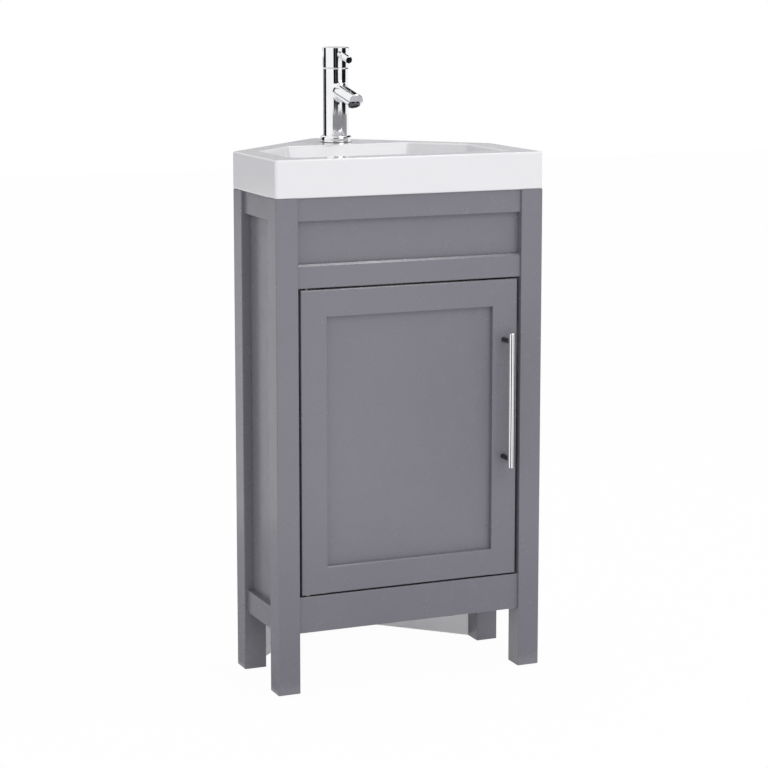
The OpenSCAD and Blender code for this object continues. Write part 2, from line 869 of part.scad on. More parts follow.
module pivot_bush() {
    difference() {
        union() {
            cylinder(d = bush_flange_d, h = bush_flange_t);
            translate([0, 0, -bush_l]) cylinder(d = bush_d, h = bush_l + bush_flange_t);
        }
        translate([0, 0, -bush_l - over])
            cylinder(d = pivot_d + 2 * pivot_fit, h = bush_l + bush_flange_t + 2 * over);
    }
}

module pivot_bushes() {
    color(brass) seat() {
        translate([pivot_x, pivot_y, opening_z]) pivot_bush();
        translate([pivot_x, pivot_y, mid_rail_z]) mirror([0, 0, 1]) pivot_bush();
    }
}

// ---------- Handle and catch ----------

module handle_bar() {
    end_r = 0.8;
    color(chrome) seat() translate([handle_x, rail_setback - bar_reach, handle_z - bar_l / 2])
        difference() {
            rotate_extrude() polygon([[0, 0], [bar_d / 2 - end_r, 0], [bar_d / 2, end_r],
                                      [bar_d / 2, bar_l - end_r], [bar_d / 2 - end_r, bar_l], [0, bar_l]]);
            for (s = [-1, 1]) translate([0, 0, bar_l / 2 + s * pillar_pitch / 2]) rotate([-90, 0, 0])
                cylinder(d = pillar_spigot_d, h = bar_d, $fn = 32);
        }
}

// Each pillar is hollowed to sit round the bar and has a spigot that fits the hole in the bar
module handle_pillars() {
    color(chrome) seat() at_pillars() translate([0, rail_setback - bar_reach, 0]) {
        rotate([-90, 0, 0]) translate([0, 0, seat_gap]) cylinder(d = pillar_spigot_d, h = bar_d, $fn = 32);
        difference() {
            rotate([-90, 0, 0]) cylinder(d = pillar_d, h = bar_reach);
            cylinder(d = bar_d, h = 2 * pillar_d, center = true);
            translate([0, bar_reach - screw_grip - seat_gap, 0]) rotate([-90, 0, 0])
                cylinder(d = handle_screw_d, h = screw_grip + seat_gap + over, $fn = 24);
        }
    }
}

module handle_screws() {
    color(steel) seat() at_pillars() translate([0, rail_setback - screw_grip, 0]) rotate([-90, 0, 0])
        difference() {
            union() {
                cylinder(d = handle_screw_d, h = screw_grip + door_t, $fn = 24);
                translate([0, 0, screw_grip + door_t]) cylinder(r = screw_head_r, h = screw_head_h);
            }
            for (a = [0, 90]) rotate([0, 0, a])
                translate([-screw_head_r * 0.6, -0.5, screw_grip + door_t + screw_head_h - 1.2])
                    cube([screw_head_r * 1.2, 1, 2]);
        }
}

// Local Z runs from the free side of the catch into the post, at each of its two screws
module at_catch_screws() {
    for (s = [-1, 1])
        translate([inner_x - catch_w, catch_y + catch_d / 2 + 1, catch_z + catch_l / 2 + s * (catch_l / 2 - 6)])
            rotate([0, 90, 0]) children();
}

module catch_screw_rods(r) {
    at_catch_screws() cylinder(r = r, h = catch_screw_l, $fn = 24);
}

module magnetic_catch() {
    color(plastic) seat() difference() {
        translate([inner_x - catch_w, catch_y, catch_z]) cube([catch_w, catch_d, catch_l]);
        catch_screw_rods(catch_screw_r);
        at_catch_screws() translate([0, 0, -over]) cylinder(r = 3.4, h = over + 2.6, $fn = 24);
        for (s = [-1, 1])
            translate([inner_x - catch_w / 2, catch_y - over, catch_z + catch_l / 2 + s * 6])
                translate([-4, 0, -3]) cube([8, over + 0.8, 6]);
    }
}

module catch_screws() {
    color(steel) seat() {
        catch_screw_rods(0.8 * catch_screw_r);
        at_catch_screws() translate([0, 0, 0.4]) cylinder(r = 3.2, h = 2.2, $fn = 24);
    }
}

module strike_plate() {
    color(steel) seat() {
        translate([strike_x, door_back, catch_z]) cube([strike_w, strike_t, catch_l]);
        translate([strike_x + strike_w / 2, door_back - strike_pin_l, catch_z + catch_l / 2])
            rotate([-90, 0, 0]) cylinder(r = strike_pin_r, h = strike_pin_l, $fn = 24);
    }
}

// ---------- Basin ----------

// Corner of the basin edge: an upright puck with round upper and lower edges
module basin_puck(x, y, r) {
    translate([x, y, cabinet_h]) rotate_extrude($fn = 32) intersection() {
        square([r, basin_h]);
        union() {
            square([r - basin_edge_r, basin_h]);
            translate([0, basin_edge_r]) square([r, basin_h - 2 * basin_edge_r]);
            for (z = [basin_edge_r, basin_h - basin_edge_r])
                translate([r - basin_edge_r, z]) circle(r = basin_edge_r, $fn = 24);
        }
    }
}

module basin_block() {
    slant = basin_corner_r * (root2 - 1);
    hull() {
        both_sides() {
            basin_puck(half_w - basin_corner_r, basin_corner_r, basin_corner_r);
            basin_puck(half_w - basin_corner_r, side_d - slant, basin_corner_r);
        }
        basin_puck(0, wall_sum - root2 * basin_apex_r, basin_apex_r);
    }
}

module basin_hollow() {
    w = basin_wall;
    inner_sum = wall_sum - w * root2;
    half = [[half_w - w, w], [half_w - w, inner_sum - half_w + w], [0, inner_sum]];
    translate([0, 0, cabinet_h - over]) linear_extrude(basin_h - w + over)
        polygon(concat(half, mirrored(half)));
}

// A bowl form: wide at the rim, leaning in to a floor with a round edge
module bowl_form(grow, floor_z, top_z) {
    r = bowl_corner_r + grow;
    fr = bowl_floor_r + grow;
    hull() both_sides() for (i = [0 : 2]) {
        in_top = corner_shift(i, bowl_corner_r);
        in_floor = corner_shift(i, bowl_floor_r + bowl_draft);
        p = bowl_plan[i];
        translate([p[0] + in_top[0], p[1] + in_top[1], top_z - over]) cylinder(r = r, h = over, $fn = 32);
        translate([p[0] + in_floor[0], p[1] + in_floor[1], floor_z + fr]) sphere(r = fr, $fn = 32);
    }
}

// Shift from a corner of the bowl plan to the middle of its corner radius r
function corner_shift(i, r) = i == 0 ? [-r, r] : i == 1 ? [-r, -r * (root2 - 1)] : [-r * (root2 - 1), -r];

module basin() {
    color(glaze) seat() difference() {
        union() {
            difference() {
                basin_block();
                basin_hollow();
            }
            bowl_form(bowl_wall, bowl_bottom_z, basin_top - basin_edge_r);
        }
        bowl_form(0, bowl_floor_z, basin_top + over);
        translate([0, waste_y, bowl_bottom_z - over])
            cylinder(d = waste_hole_d, h = bowl_wall + 2 * over);
        translate([0, waste_y, bowl_floor_z - waste_seat])
            cylinder(d = waste_flange_d + 1, h = waste_seat + over);
        translate([0, tap_y, basin_top - basin_wall - over])
            cylinder(d = tap_hole_d, h = basin_wall + 2 * over);
    }
}

// ---------- Waste ----------

module waste_place() {
    seat() translate([0, waste_y, bowl_floor_z]) children();
}

module waste_body() {
    wall = (waste_d - waste_bore) / 2;
    hub_r = plug_stem_d / 2 + 2.5;
    groove_z = -bowl_wall - seal_t - nut_t - tail_groove_w;
    color(chrome) waste_place() {
        rotate_extrude() difference() {
            union() {
                translate([waste_bore / 2, -waste_l]) square([wall, waste_l]);
                translate([waste_bore / 2, -waste_flange_t])
                    square([(waste_flange_d - waste_bore) / 2, waste_flange_t]);
            }
            polygon([[waste_bore / 2 - 1, 1], [waste_d / 2 + 1, 1], [waste_bore / 2 - 1, -3]]);
            translate([waste_d / 2 - tail_groove_depth, groove_z])
                square([tail_groove_depth + over, tail_groove_w]);
            polygon([[waste_d / 2 - tail_chamfer - over, -waste_l - over],
                [waste_d / 2 + over, -waste_l - over],
                [waste_d / 2 + over, -waste_l + tail_chamfer + over]]);
        }
        translate([0, 0, -plug_stem_l + 8]) difference() {
            union() {
                cylinder(r = hub_r, h = 10);
                for (a = [90, 210, 330]) rotate([0, 0, a]) translate([0, -1.5, 0])
                    cube([waste_bore / 2 + wall / 2, 3, 10]);
            }
            translate([0, 0, -over]) cylinder(d = plug_stem_d + 2 * plug_fit, h = 10 + 2 * over);
        }
    }
}

module waste_seal() {
    color(rubber) waste_place() translate([0, 0, -bowl_wall - seal_t]) difference() {
        cylinder(d = waste_flange_d - 3, h = seal_t);
        translate([0, 0, -over]) cylinder(d = waste_d + 0.2, h = seal_t + 2 * over);
    }
}

module waste_backnut() {
    color(brass) waste_place() translate([0, 0, -bowl_wall - seal_t - nut_t]) difference() {
        union() {
            cylinder(d = waste_flange_d - 3, h = 2);
            cylinder(d = waste_flange_d - 4, h = nut_t, $fn = 8);
        }
        translate([0, 0, -over]) cylinder(d = waste_d + 0.1, h = nut_t + 2 * over);
    }
}

module waste_plug() {
    dome_top = seat_gap + plug_dome;
    dome_sphere = (pow(plug_d / 2, 2) + pow(plug_dome - 1.2, 2)) / (2 * (plug_dome - 1.2));
    color(chrome) waste_place() {
        rotate_extrude($fn = 96) intersection() {
            translate([0, seat_gap]) square([plug_d / 2, plug_dome]);
            translate([0, dome_top - dome_sphere]) circle(r = dome_sphere, $fn = 720);
        }
        translate([0, 0, -plug_stem_l]) cylinder(d = plug_stem_d, h = plug_stem_l + 1);
        translate([0, 0, -6]) cylinder(r = waste_bore / 2 - 4, h = 6 + 1);
    }
}

// ---------- Tap ----------

module tap_place() {
    seat() translate([0, tap_y, basin_top]) children();
}

// Local Z runs along the spout, from the tap axis to its end
module spout_frame() {
    translate([0, 0, spout_z]) rotate([90 + spout_fall, 0, 0]) children();
}

// Local Z = 0 is the face of the outlet, and local -Z is the way the water leaves
module outlet_frame() {
    translate([0, -outlet_reach, outlet_z]) rotate([-outlet_lean, 0, 0]) children();
}

// Local Z runs along the lever, from the tap axis to its tip
module lever_frame() {
    translate([0, 0, tap_h - lever_drop]) rotate([90 + lever_fall, 0, 0]) children();
}

module tap_base_ring() {
    step = tap_base_r - tap_body_r - 0.8;
    color(chrome) tap_place() rotate_extrude($fn = 96) difference() {
        union() {
            translate([tap_body_r + 0.1, 0]) square([tap_base_r - tap_body_r - 0.1, tap_base_h - step]);
            translate([tap_body_r + 0.1, 0]) square([0.7, tap_base_h]);
            intersection() {
                translate([tap_body_r + 0.8, tap_base_h - step]) circle(r = step, $fn = 48);
                translate([tap_body_r + 0.1, 0]) square([tap_base_r, tap_base_h]);
            }
        }
        translate([tap_base_r, 0]) rotate(45) square(1.4, center = true);
    }
}

module spout_solid() {
    end_r = 1.5;
    l = spout_reach / cos(spout_fall);
    difference() {
        spout_frame() rotate_extrude($fn = 96) {
            square([spout_r - end_r, l]);
            square([spout_r, l - end_r]);
            translate([spout_r - end_r, l - end_r]) circle(r = end_r, $fn = 24);
        }
        outlet_frame() translate([-spout_r * 2, -spout_r * 2, aerator_t + 0.1 - spout_r * 4])
            cube([spout_r * 4, spout_r * 4, spout_r * 4]);
    }
}

module tap_body() {
    color(chrome) tap_place() difference() {
        union() {
            cylinder(r = tap_body_r, h = body_top, $fn = 96);
            spout_solid();
        }
        translate([0, 0, cartridge_z]) cylinder(r = cartridge_r, h = body_top);
        spout_frame() translate([0, 0, cartridge_r - 4])
            cylinder(r = spout_bore_r, h = outlet_reach - cartridge_r + 4);
        outlet_frame() cylinder(r = aerator_thread_r + 0.1, h = aerator_t + aerator_thread_l + 1);
        for (s = [-1, 1]) translate([s * inlet_x, -3, -over]) {
            cylinder(r = inlet_r, h = inlet_l + over);
            cylinder(r = inlet_way_r, h = cartridge_z + 2 * over, $fn = 24);
        }
        translate([0, stud_y, -over]) cylinder(d = stud_d, h = 15 + over);
    }
}

module tap_aerator() {
    color(chrome) tap_place() outlet_frame() difference() {
        union() {
            cylinder(r = aerator_r, h = aerator_t);
            cylinder(r = aerator_thread_r, h = aerator_t + aerator_thread_l);
        }
        translate([0, 0, -over]) cylinder(r = aerator_thread_r - 1.2, h = over + 1);
        for (a = [0 : 60 : 300]) rotate([0, 0, a]) translate([4.2, 0, -over])
            cylinder(r = 1.5, h = aerator_t + aerator_thread_l + 2 * over, $fn = 24);
        translate([0, 0, -over]) cylinder(r = 1.5, h = aerator_t + aerator_thread_l + 2 * over, $fn = 24);
    }
}

// Threaded collar that holds the cartridge down; its upper side is part of a sphere round the tilt axis
module tap_dome_ring() {
    color(chrome) tap_place() difference() {
        union() {
            translate([0, 0, housing_top + seat_gap])
                cylinder(r = cartridge_r - 0.1, h = body_top - housing_top - seat_gap + 0.01);
            intersection() {
                translate([0, 0, body_top]) cylinder(r = tap_body_r, h = dome_r);
                translate([0, 0, tilt_z]) sphere(r = dome_r, $fn = 96);
            }
        }
        cylinder(r = core_r + seat_gap, h = tap_h);
    }
}

module tap_cartridge() {
    color(plastic) tap_place() difference() {
        translate([0, 0, cartridge_z]) cylinder(r = cartridge_r - 0.1, h = housing_top - cartridge_z);
        translate([0, 0, core_bottom - seat_gap]) cylinder(r = core_r + run_fit, h = tap_h);
        for (s = [-1, 1]) translate([s * inlet_x, -3, cartridge_z - over])
            cylinder(r = inlet_way_r, h = 40, $fn = 24);
        spout_frame() cylinder(r = 3.5, h = cartridge_r + over, $fn = 24);
    }
}

module cartridge_core() {
    color(brass) tap_place() difference() {
        translate([0, 0, core_bottom]) cylinder(r = core_r, h = core_top - core_bottom);
        translate([-stem_r - 0.2, -slot_front, tilt_z - 8])
            cube([2 * stem_r + 0.4, slot_front + slot_back, core_top]);
        translate([-core_r, 0, tilt_z]) rotate([0, 90, 0])
            cylinder(r = tilt_pin_r + run_fit, h = 2 * core_r, $fn = 24);
    }
}

module cartridge_stem() {
    color(steel) tap_place() difference() {
        translate([0, 0, tilt_z - 4]) cylinder(r = stem_r, h = stem_top - tilt_z + 4);
        translate([-core_r, 0, tilt_z]) rotate([0, 90, 0]) cylinder(r = tilt_pin_r, h = 2 * core_r, $fn = 24);
    }
}

module tilt_pin() {
    l = 2 * core_r - 2;
    color(steel) tap_place() translate([-l / 2, 0, tilt_z]) rotate([0, 90, 0])
        cylinder(r = tilt_pin_r, h = l, $fn = 24);
}

module tap_cap() {
    edge = 0.8;
    color(chrome) tap_place() difference() {
        translate([0, 0, seam_z]) rotate_extrude($fn = 96)
            polygon([[0, 0], [cap_r - edge / 2, 0], [cap_r, edge / 2],
                     [cap_r, cap_h - edge], [cap_r - edge, cap_h], [0, cap_h]]);
        translate([0, 0, tilt_z]) sphere(r = cap_hollow_r, $fn = 96);
        translate([0, 0, tilt_z]) cylinder(r = stem_r + 0.05, h = stem_top - tilt_z + seat_gap);
        lever_frame() translate([0, 0, cap_r - 5]) cylinder(r = lever_r + 0.1, h = cap_r);
        lever_frame() translate([0, 0, cap_r - 14]) cylinder(r = lever_r / 2, h = cap_r, $fn = 24);
        translate([0, stem_r - 1, grub_z]) rotate([-90, 0, 0]) cylinder(r = grub_r, h = cap_r, $fn = 24);
    }
}

module tap_lever() {
    edge = 0.6;
    tip = lever_reach / cos(lever_fall);
    color(chrome) tap_place() lever_frame() {
        translate([0, 0, cap_r - 5 + seat_gap]) rotate_extrude() {
            l = tip - cap_r + 5 - seat_gap;
            polygon([[0, 0], [lever_r, 0], [lever_r, l - edge], [lever_r - edge, l], [0, l]]);
        }
        translate([0, 0, cap_r - 14 + seat_gap]) cylinder(r = lever_r / 2, h = 10, $fn = 24);
    }
}

module cap_grub_screw() {
    color(steel) tap_place() translate([0, stem_r + 0.1, grub_z]) rotate([-90, 0, 0]) difference() {
        cylinder(r = grub_r, h = 10, $fn = 24);
        translate([0, 0, 7]) cylinder(r = 1.1, h = 4, $fn = 6);
    }
}

module tap_stud() {
    color(steel) tap_place() translate([0, stud_y, -stud_l]) cylinder(d = stud_d, h = stud_l + 14, $fn = 32);
}

module tap_washer() {
    color(steel) tap_place() translate([0, 0, -basin_wall - washer_t]) difference() {
        cylinder(r = tap_hole_d / 2 + 7, h = washer_t);
        translate([-inlet_x - inlet_r - 1, -tap_hole_d, -over])
            cube([2 * (inlet_x + inlet_r + 1), tap_hole_d + 2, washer_t + 2 * over]);
        translate([0, stud_y, -over]) cylinder(d = stud_d + 0.4, h = washer_t + 2 * over, $fn = 32);
    }
}

module tap_nut() {
    color(brass) tap_place() translate([0, stud_y, -basin_wall - washer_t - 16]) difference() {
        cylinder(r = stud_d * 0.85, h = 16, $fn = 6);
        translate([0, 0, -over]) cylinder(d = stud_d + 0.1, h = 16 + 2 * over, $fn = 32);
    }
}

front_left_post();
front_right_post();
rear_left_post();
rear_right_post();
back_corner_post();
front_top_rail();
front_fixed_panel();
front_mid_rail();
front_bottom_rail();
left_top_rail();
left_bottom_rail();
left_side_panel();
right_top_rail();
right_bottom_rail();
right_side_panel();
left_back_panel();
right_back_panel();
left_back_batten();
right_back_batten();
cabinet_floor();
side_floor_cleats();
front_floor_cleat();
inner_shelf();
shelf_pins();
rail_dowels();
foot_glides();
door_hinge_stile();
door_handle_stile();
door_top_rail();
door_bottom_rail();
door_panel();
lower_pivot_pin();
upper_pivot_pin();
pivot_bushes();
handle_bar();
handle_pillars();
handle_screws();
magnetic_catch();
catch_screws();
strike_plate();
basin();
waste_body();
waste_seal();
waste_backnut();
waste_plug();
tap_base_ring();
tap_body();
tap_aerator();
tap_dome_ring();
tap_cartridge();
cartridge_core();
cartridge_stem();
tilt_pin();
tap_cap();
tap_lever();
cap_grub_screw();
tap_stud();
tap_washer();
tap_nut();
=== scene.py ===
# %% [markdown]
# # A slim corner vanity unit
# The cabinet, the door, the basin and the tap come from a imported CAD model, which keeps its joints and its size.
# This file is the finishing shop: it gives each piece the surface of the real one, rebuilds the pieces whose
# shape needs a finer mesh than the CAD model has, adds the small fittings, and sets up the photographer's table.
# The first step loads the frame.

# %% Load the imported frame
import math

import bmesh
import bpy
from mathutils import Matrix, Vector


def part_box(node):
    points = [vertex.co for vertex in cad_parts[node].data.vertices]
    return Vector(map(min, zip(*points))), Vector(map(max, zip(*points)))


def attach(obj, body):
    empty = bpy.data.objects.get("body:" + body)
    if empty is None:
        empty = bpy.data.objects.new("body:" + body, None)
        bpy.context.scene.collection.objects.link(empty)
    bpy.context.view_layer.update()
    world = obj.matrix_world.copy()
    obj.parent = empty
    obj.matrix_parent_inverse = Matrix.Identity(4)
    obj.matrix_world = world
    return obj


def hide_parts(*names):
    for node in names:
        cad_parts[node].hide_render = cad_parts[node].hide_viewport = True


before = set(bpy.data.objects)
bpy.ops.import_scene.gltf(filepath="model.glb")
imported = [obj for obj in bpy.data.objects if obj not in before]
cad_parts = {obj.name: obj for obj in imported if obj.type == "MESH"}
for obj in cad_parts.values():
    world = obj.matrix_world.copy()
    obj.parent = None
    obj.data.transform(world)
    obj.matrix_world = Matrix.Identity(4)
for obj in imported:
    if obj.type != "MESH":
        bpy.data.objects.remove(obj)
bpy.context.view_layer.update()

# %% [markdown]
# ## The measures
# The CAD model puts its origin in the middle of the floor space, so a depth that the drawing counts from the
# front face of the posts needs a shift. Heights count from the floor, and the width from the middle of the front.
# One helper does that sum, and takes millimetres, as the drawing does.

# %% Measures of the cabinet and the basin
MM = 0.001
ROOT2 = math.sqrt(2)
post_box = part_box("front_left_post")
FRONT = post_box[0].y
HALF_WIDTH = 229
SIDE_DEPTH = 194
CORNER_DEPTH = 423
CABINET_TOP = 790
BASIN_TOP = 850
WASTE_Y = 152
TAP_Y = 320


def at(x, y, z):
    """A point in the frame from millimetres: right of the middle, behind the posts' front face, above the floor."""
    return Vector((x * MM, y * MM + FRONT, z * MM))


print("posts' front face at y =", round(FRONT, 4), "m; cabinet", 2 * HALF_WIDTH, "mm wide")

# %% [markdown]
# ## The camera
# The photograph was taken from the left of the front, a little above the basin, with a long lens from almost four
# metres, which keeps the sides nearly parallel. Its place was worked out from the corners of the feet, the door and
# the basin. A small shift lowers the frame, as on a view camera, so that the uprights lean less.

# %% Camera
LENS_MM = 109.53
CAMERA_AT = at(-1475.3, -3343.5, 1145.0)
CAMERA_YAW = 23.112
CAMERA_PITCH = 8.697
camera_data = bpy.data.cameras.new("camera")
camera_data.lens = LENS_MM
camera_data.sensor_width = 36
camera_data.shift_y = -0.08
camera_data.clip_end = 60
camera = bpy.data.objects.new("camera", camera_data)
camera.location = CAMERA_AT
camera.rotation_euler = (math.radians(90 - CAMERA_PITCH), 0, math.radians(-CAMERA_YAW))
bpy.context.collection.objects.link(camera)
bpy.context.scene.camera = camera
print("camera", round((CAMERA_AT - at(0, SIDE_DEPTH, 500)).length, 2), "m from the unit")

# %% [markdown]
# ## Light
# The photograph has the flat, soft light of a catalogue studio: the front is the brightest side, the left side and
# the top get about three quarters of its light, and the shadows are weak. A pale world gives the even part and a
# large lamp in front gives most of the rest. A low one reaches the back panels behind the legs, and a narrow one
# overhead draws a bright line along the edges that face up. To the camera, and in anything shiny, the world is plain
# white, which is the white paper of the studio; the lower level that the dull surfaces get is the same world's.

# %% World and lamps
bpy.context.scene.view_settings.view_transform = "Standard"
ROOM_LEVEL = 0.78
FRONT_WATTS = 16
LOW_WATTS = 10
TOP_WATTS = 8
world = bpy.data.worlds.new("studio")
bpy.context.scene.world = world
world.use_nodes = True
room = world.node_tree
room.nodes.clear()


def node(tree, kind, **settings):
    """A new node of that kind, with these properties set."""
    made = tree.nodes.new(kind)
    for key, value in settings.items():
        setattr(made, key, value)
    return made


def seen_directly(tree):
    """1 for what the camera sees, directly or in a shiny or clear surface, and 0 for the light on dull surfaces."""
    path = node(tree, "ShaderNodeLightPath")
    either = node(tree, "ShaderNodeMath", operation="MAXIMUM")
    any_of_three = node(tree, "ShaderNodeMath", operation="MAXIMUM")
    tree.links.new(path.outputs["Is Camera Ray"], either.inputs[0])
    tree.links.new(path.outputs["Is Glossy Ray"], either.inputs[1])
    tree.links.new(either.outputs[0], any_of_three.inputs[0])
    tree.links.new(path.outputs["Is Transmission Ray"], any_of_three.inputs[1])
    return any_of_three.outputs[0]


paper = node(room, "ShaderNodeBackground")
paper.inputs["Color"].default_value = (1, 1, 1, 1)
paper.inputs["Strength"].default_value = 1
fill = node(room, "ShaderNodeBackground")
fill.inputs["Color"].default_value = (0.985, 0.985, 1, 1)
fill.inputs["Strength"].default_value = ROOM_LEVEL
choose = node(room, "ShaderNodeMixShader")
world_out = node(room, "ShaderNodeOutputWorld")
room.links.new(seen_directly(room), choose.inputs[0])
room.links.new(fill.outputs[0], choose.inputs[1])
room.links.new(paper.outputs[0], choose.inputs[2])
room.links.new(choose.outputs[0], world_out.inputs[0])


def soft_lamp(name, place, aim, width, height, watts):
    """An area lamp of that width and height at place, turned towards aim."""
    data = bpy.data.lights.new(name, "AREA")
    data.shape = "RECTANGLE"
    data.size, data.size_y, data.energy = width, height, watts
    lamp = bpy.data.objects.new(name, data)
    lamp.location = place
    lamp.rotation_euler = (aim - place).to_track_quat("-Z", "Y").to_euler()
    bpy.context.collection.objects.link(lamp)
    return lamp


front_lamp = soft_lamp("front lamp", at(400, -2200, 2250), at(0, 0, 500), 1.6, 1.6, FRONT_WATTS)
low_lamp = soft_lamp("low lamp", at(-500, -2600, 260), at(0, 200, 60), 1.0, 0.3, LOW_WATTS)
for lamp in (front_lamp, low_lamp):
    lamp.visible_glossy = False
top_lamp = soft_lamp("top lamp", at(740, -250, 2600), at(0, 100, BASIN_TOP), 0.9, 0.3, TOP_WATTS)
for lamp in (front_lamp, low_lamp, top_lamp):
    lamp.visible_camera = False
print("world level", ROOM_LEVEL, "and three lamps of", FRONT_WATTS, LOW_WATTS, TOP_WATTS, "W")

# %% [markdown]
# ## The floor
# The floor is white paper. It takes the object's shadow, and nearly all that the camera sees of it is plain white, so
# that it runs into the background without a line. A helper makes each flat sheet of the studio.

# %% Floor
FLOOR_WHITE = 0.97
paper_mat = bpy.data.materials.new("white paper")
paper_mat.use_nodes = True
paper_tree = paper_mat.node_tree
paper_tree.nodes.clear()
dull = node(paper_tree, "ShaderNodeBsdfDiffuse")
dull.inputs["Color"].default_value = (0.86, 0.86, 0.87, 1)
glow = node(paper_tree, "ShaderNodeEmission")
glow.inputs["Color"].default_value = (1, 1, 1, 1)
share = node(paper_tree, "ShaderNodeMath", operation="MULTIPLY")
share.inputs[1].default_value = FLOOR_WHITE
blend_white = node(paper_tree, "ShaderNodeMixShader")
paper_out = node(paper_tree, "ShaderNodeOutputMaterial")
paper_tree.links.new(seen_directly(paper_tree), share.inputs[0])
paper_tree.links.new(share.outputs[0], blend_white.inputs[0])
paper_tree.links.new(dull.outputs[0], blend_white.inputs[1])
paper_tree.links.new(glow.outputs[0], blend_white.inputs[2])
paper_tree.links.new(blend_white.outputs[0], paper_out.inputs["Surface"])


def flat_sheet(name, corners, material):
    """A four-cornered sheet that belongs to the studio, not to the object."""
    data = bpy.data.meshes.new(name)
    data.from_pydata([tuple(c) for c in corners], [], [(0, 1, 2, 3)])
    data.materials.append(material)
    made = bpy.data.objects.new(name, data)
    bpy.context.collection.objects.link(made)
    return made


FLOOR_REACH = 9
flat_sheet("floor", [(x * FLOOR_REACH, y * FLOOR_REACH, 0) for x, y in ((-1, -1), (1, -1), (1, 1), (-1, 1))], paper_mat)
print("floor", 2 * FLOOR_REACH, "m wide")

# %% [markdown]
# ## Flags, cards and mats
# Polished metal in an all-white room looks like plaster, so a photographer stands black flags and grey cards round the
# object, and the metal gets its bands from them. A soft box draws the bright line on the basin's rounded front edge,
# and two mats on the floor darken what shines low down. All of these are seen only in reflections here: they give no
# shadow, and a dull surface gets neither lighter nor darker from them. The flags could be placed one by one in the
# viewport. A table is used instead, with bearings round the object, because a reflection is worked out as a bearing.
# None is fitted to a piece: one that is close would hang in the air when the door opens.

# %% Black and grey finishes
flag_mat = bpy.data.materials.new("black flag")
flag_mat.use_nodes = True
flag_bsdf = flag_mat.node_tree.nodes["Principled BSDF"]
flag_bsdf.inputs["Base Color"].default_value = (0.012, 0.012, 0.014, 1)
flag_bsdf.inputs["Roughness"].default_value = 0.9
flag_bsdf.inputs["Specular IOR Level"].default_value = 0


def grey_card(name, grey):
    """The flag's dull finish in that grey."""
    made = flag_mat.copy()
    made.name = name
    made.node_tree.nodes["Principled BSDF"].inputs["Base Color"].default_value = (grey, grey, grey * 1.03, 1)
    return made


SOFT_BOX_LEVEL = 4
dark_card, mid_card, pale_card = (
    grey_card(name, grey) for name, grey in (("dark card", 0.1), ("mid card", 0.33), ("pale card", 0.46))
)
soft_box = bpy.data.materials.new("soft box")
soft_box.use_nodes = True
box_inputs = soft_box.node_tree.nodes["Principled BSDF"].inputs
box_inputs["Base Color"].default_value = (0, 0, 0, 1)
box_inputs["Emission Color"].default_value = (1, 1, 1, 1)
box_inputs["Emission Strength"].default_value = SOFT_BOX_LEVEL


# %% Sheets that stand round the object
def reflected_sheet(name, corners, material):
    """A sheet that is seen only in shiny surfaces."""
    made = flat_sheet(name, corners, material)
    made.visible_camera = False
    made.visible_diffuse = False
    made.visible_transmission = False
    made.visible_shadow = False
    return made


def flag(name, first, last, distance, low, high, material):
    """A sheet between two bearings round the object, in degrees from the front to the right, and two heights."""
    ends = [Vector((math.sin(math.radians(b)), -math.cos(math.radians(b)), 0)) * distance for b in (first, last)]
    corners = [ends[0] + Vector((0, 0, low)), ends[1] + Vector((0, 0, low))]
    corners += [ends[1] + Vector((0, 0, high)), ends[0] + Vector((0, 0, high))]
    return reflected_sheet(name, corners, material)


# metres from the middle of the object to the ends of a sheet, and heights that several sheets share
NEAR, FAR = 1.6, 2.6
LOW_CARD_TOP, FLAG_TOP, HANDLE_TOP = 0.8, 2.4, 0.46
LEFT_FLAG_END = -148
SHEETS = [
    ("flag left", LEFT_FLAG_END, -118, FAR, 0.64, FLAG_TOP, flag_mat),
    ("card for the basin's end", -175, LEFT_FLAG_END, FAR, 0.54, 0.9, pale_card),
    ("flag camera left", -45, -28, NEAR, LOW_CARD_TOP, FLAG_TOP, flag_mat),
    ("card at the camera", -28, -20, NEAR, LOW_CARD_TOP, FLAG_TOP, dark_card),
    ("flag camera right", -20, -2, NEAR, LOW_CARD_TOP, FLAG_TOP, flag_mat),
    ("flag right", 35, 79, NEAR, LOW_CARD_TOP, FLAG_TOP, flag_mat),
    *[("low card", first, first + 37, NEAR, 0.6, LOW_CARD_TOP, mid_card) for first in (-55, -18, 19, 56)],
    ("card behind", 118, 196, FAR, 0.93, 1.4, pale_card),
    ("flag behind", 84, 168, FAR, 1.45, 2.8, flag_mat),
    ("soft box", 12, 36, 2.5, 1.05, 1.7, soft_box),
    ("flag for the handle", -43, -14, NEAR, 0.0, HANDLE_TOP, flag_mat),
    ("low flag in front", 23, 34, NEAR, 0.0, HANDLE_TOP, flag_mat),
    ("grey card for the handle", 50, 74, NEAR, 0.0, HANDLE_TOP, mid_card),
    ("right flag for the handle", 74, 130, NEAR, 0.0, HANDLE_TOP, flag_mat),
]
for sheet in SHEETS:
    flag(*sheet)
print(len(SHEETS), "standing sheets")


# %% Mats on the floor
def mat(name, grey, x_low, x_high, y_low, y_high):
    """A mat of that grey, a hair above the floor, which darkens the foot of what shines above it."""
    z = 0.0005
    corners = [(x_low, y_low, z), (x_high, y_low, z), (x_high, y_high, z), (x_low, y_high, z)]
    return reflected_sheet(name, corners, grey_card(name, grey))


mat("mat in front", 0.05, -0.3, 0.7, -0.9, -0.235)
mat("mat on the left", 0.7, -0.8, -0.235, -0.22, 0.9)
print("two mats")

# %% [markdown]
# ## Finishes
# Each finish is a small set of nodes on the piece's own coordinates, in metres, so that it stays on the piece when
# the door swings. A little noise moves the colour and the gloss, as it does on any real surface, and a bump at the
# scale of the real texture breaks up the highlights. These helpers keep each recipe short.

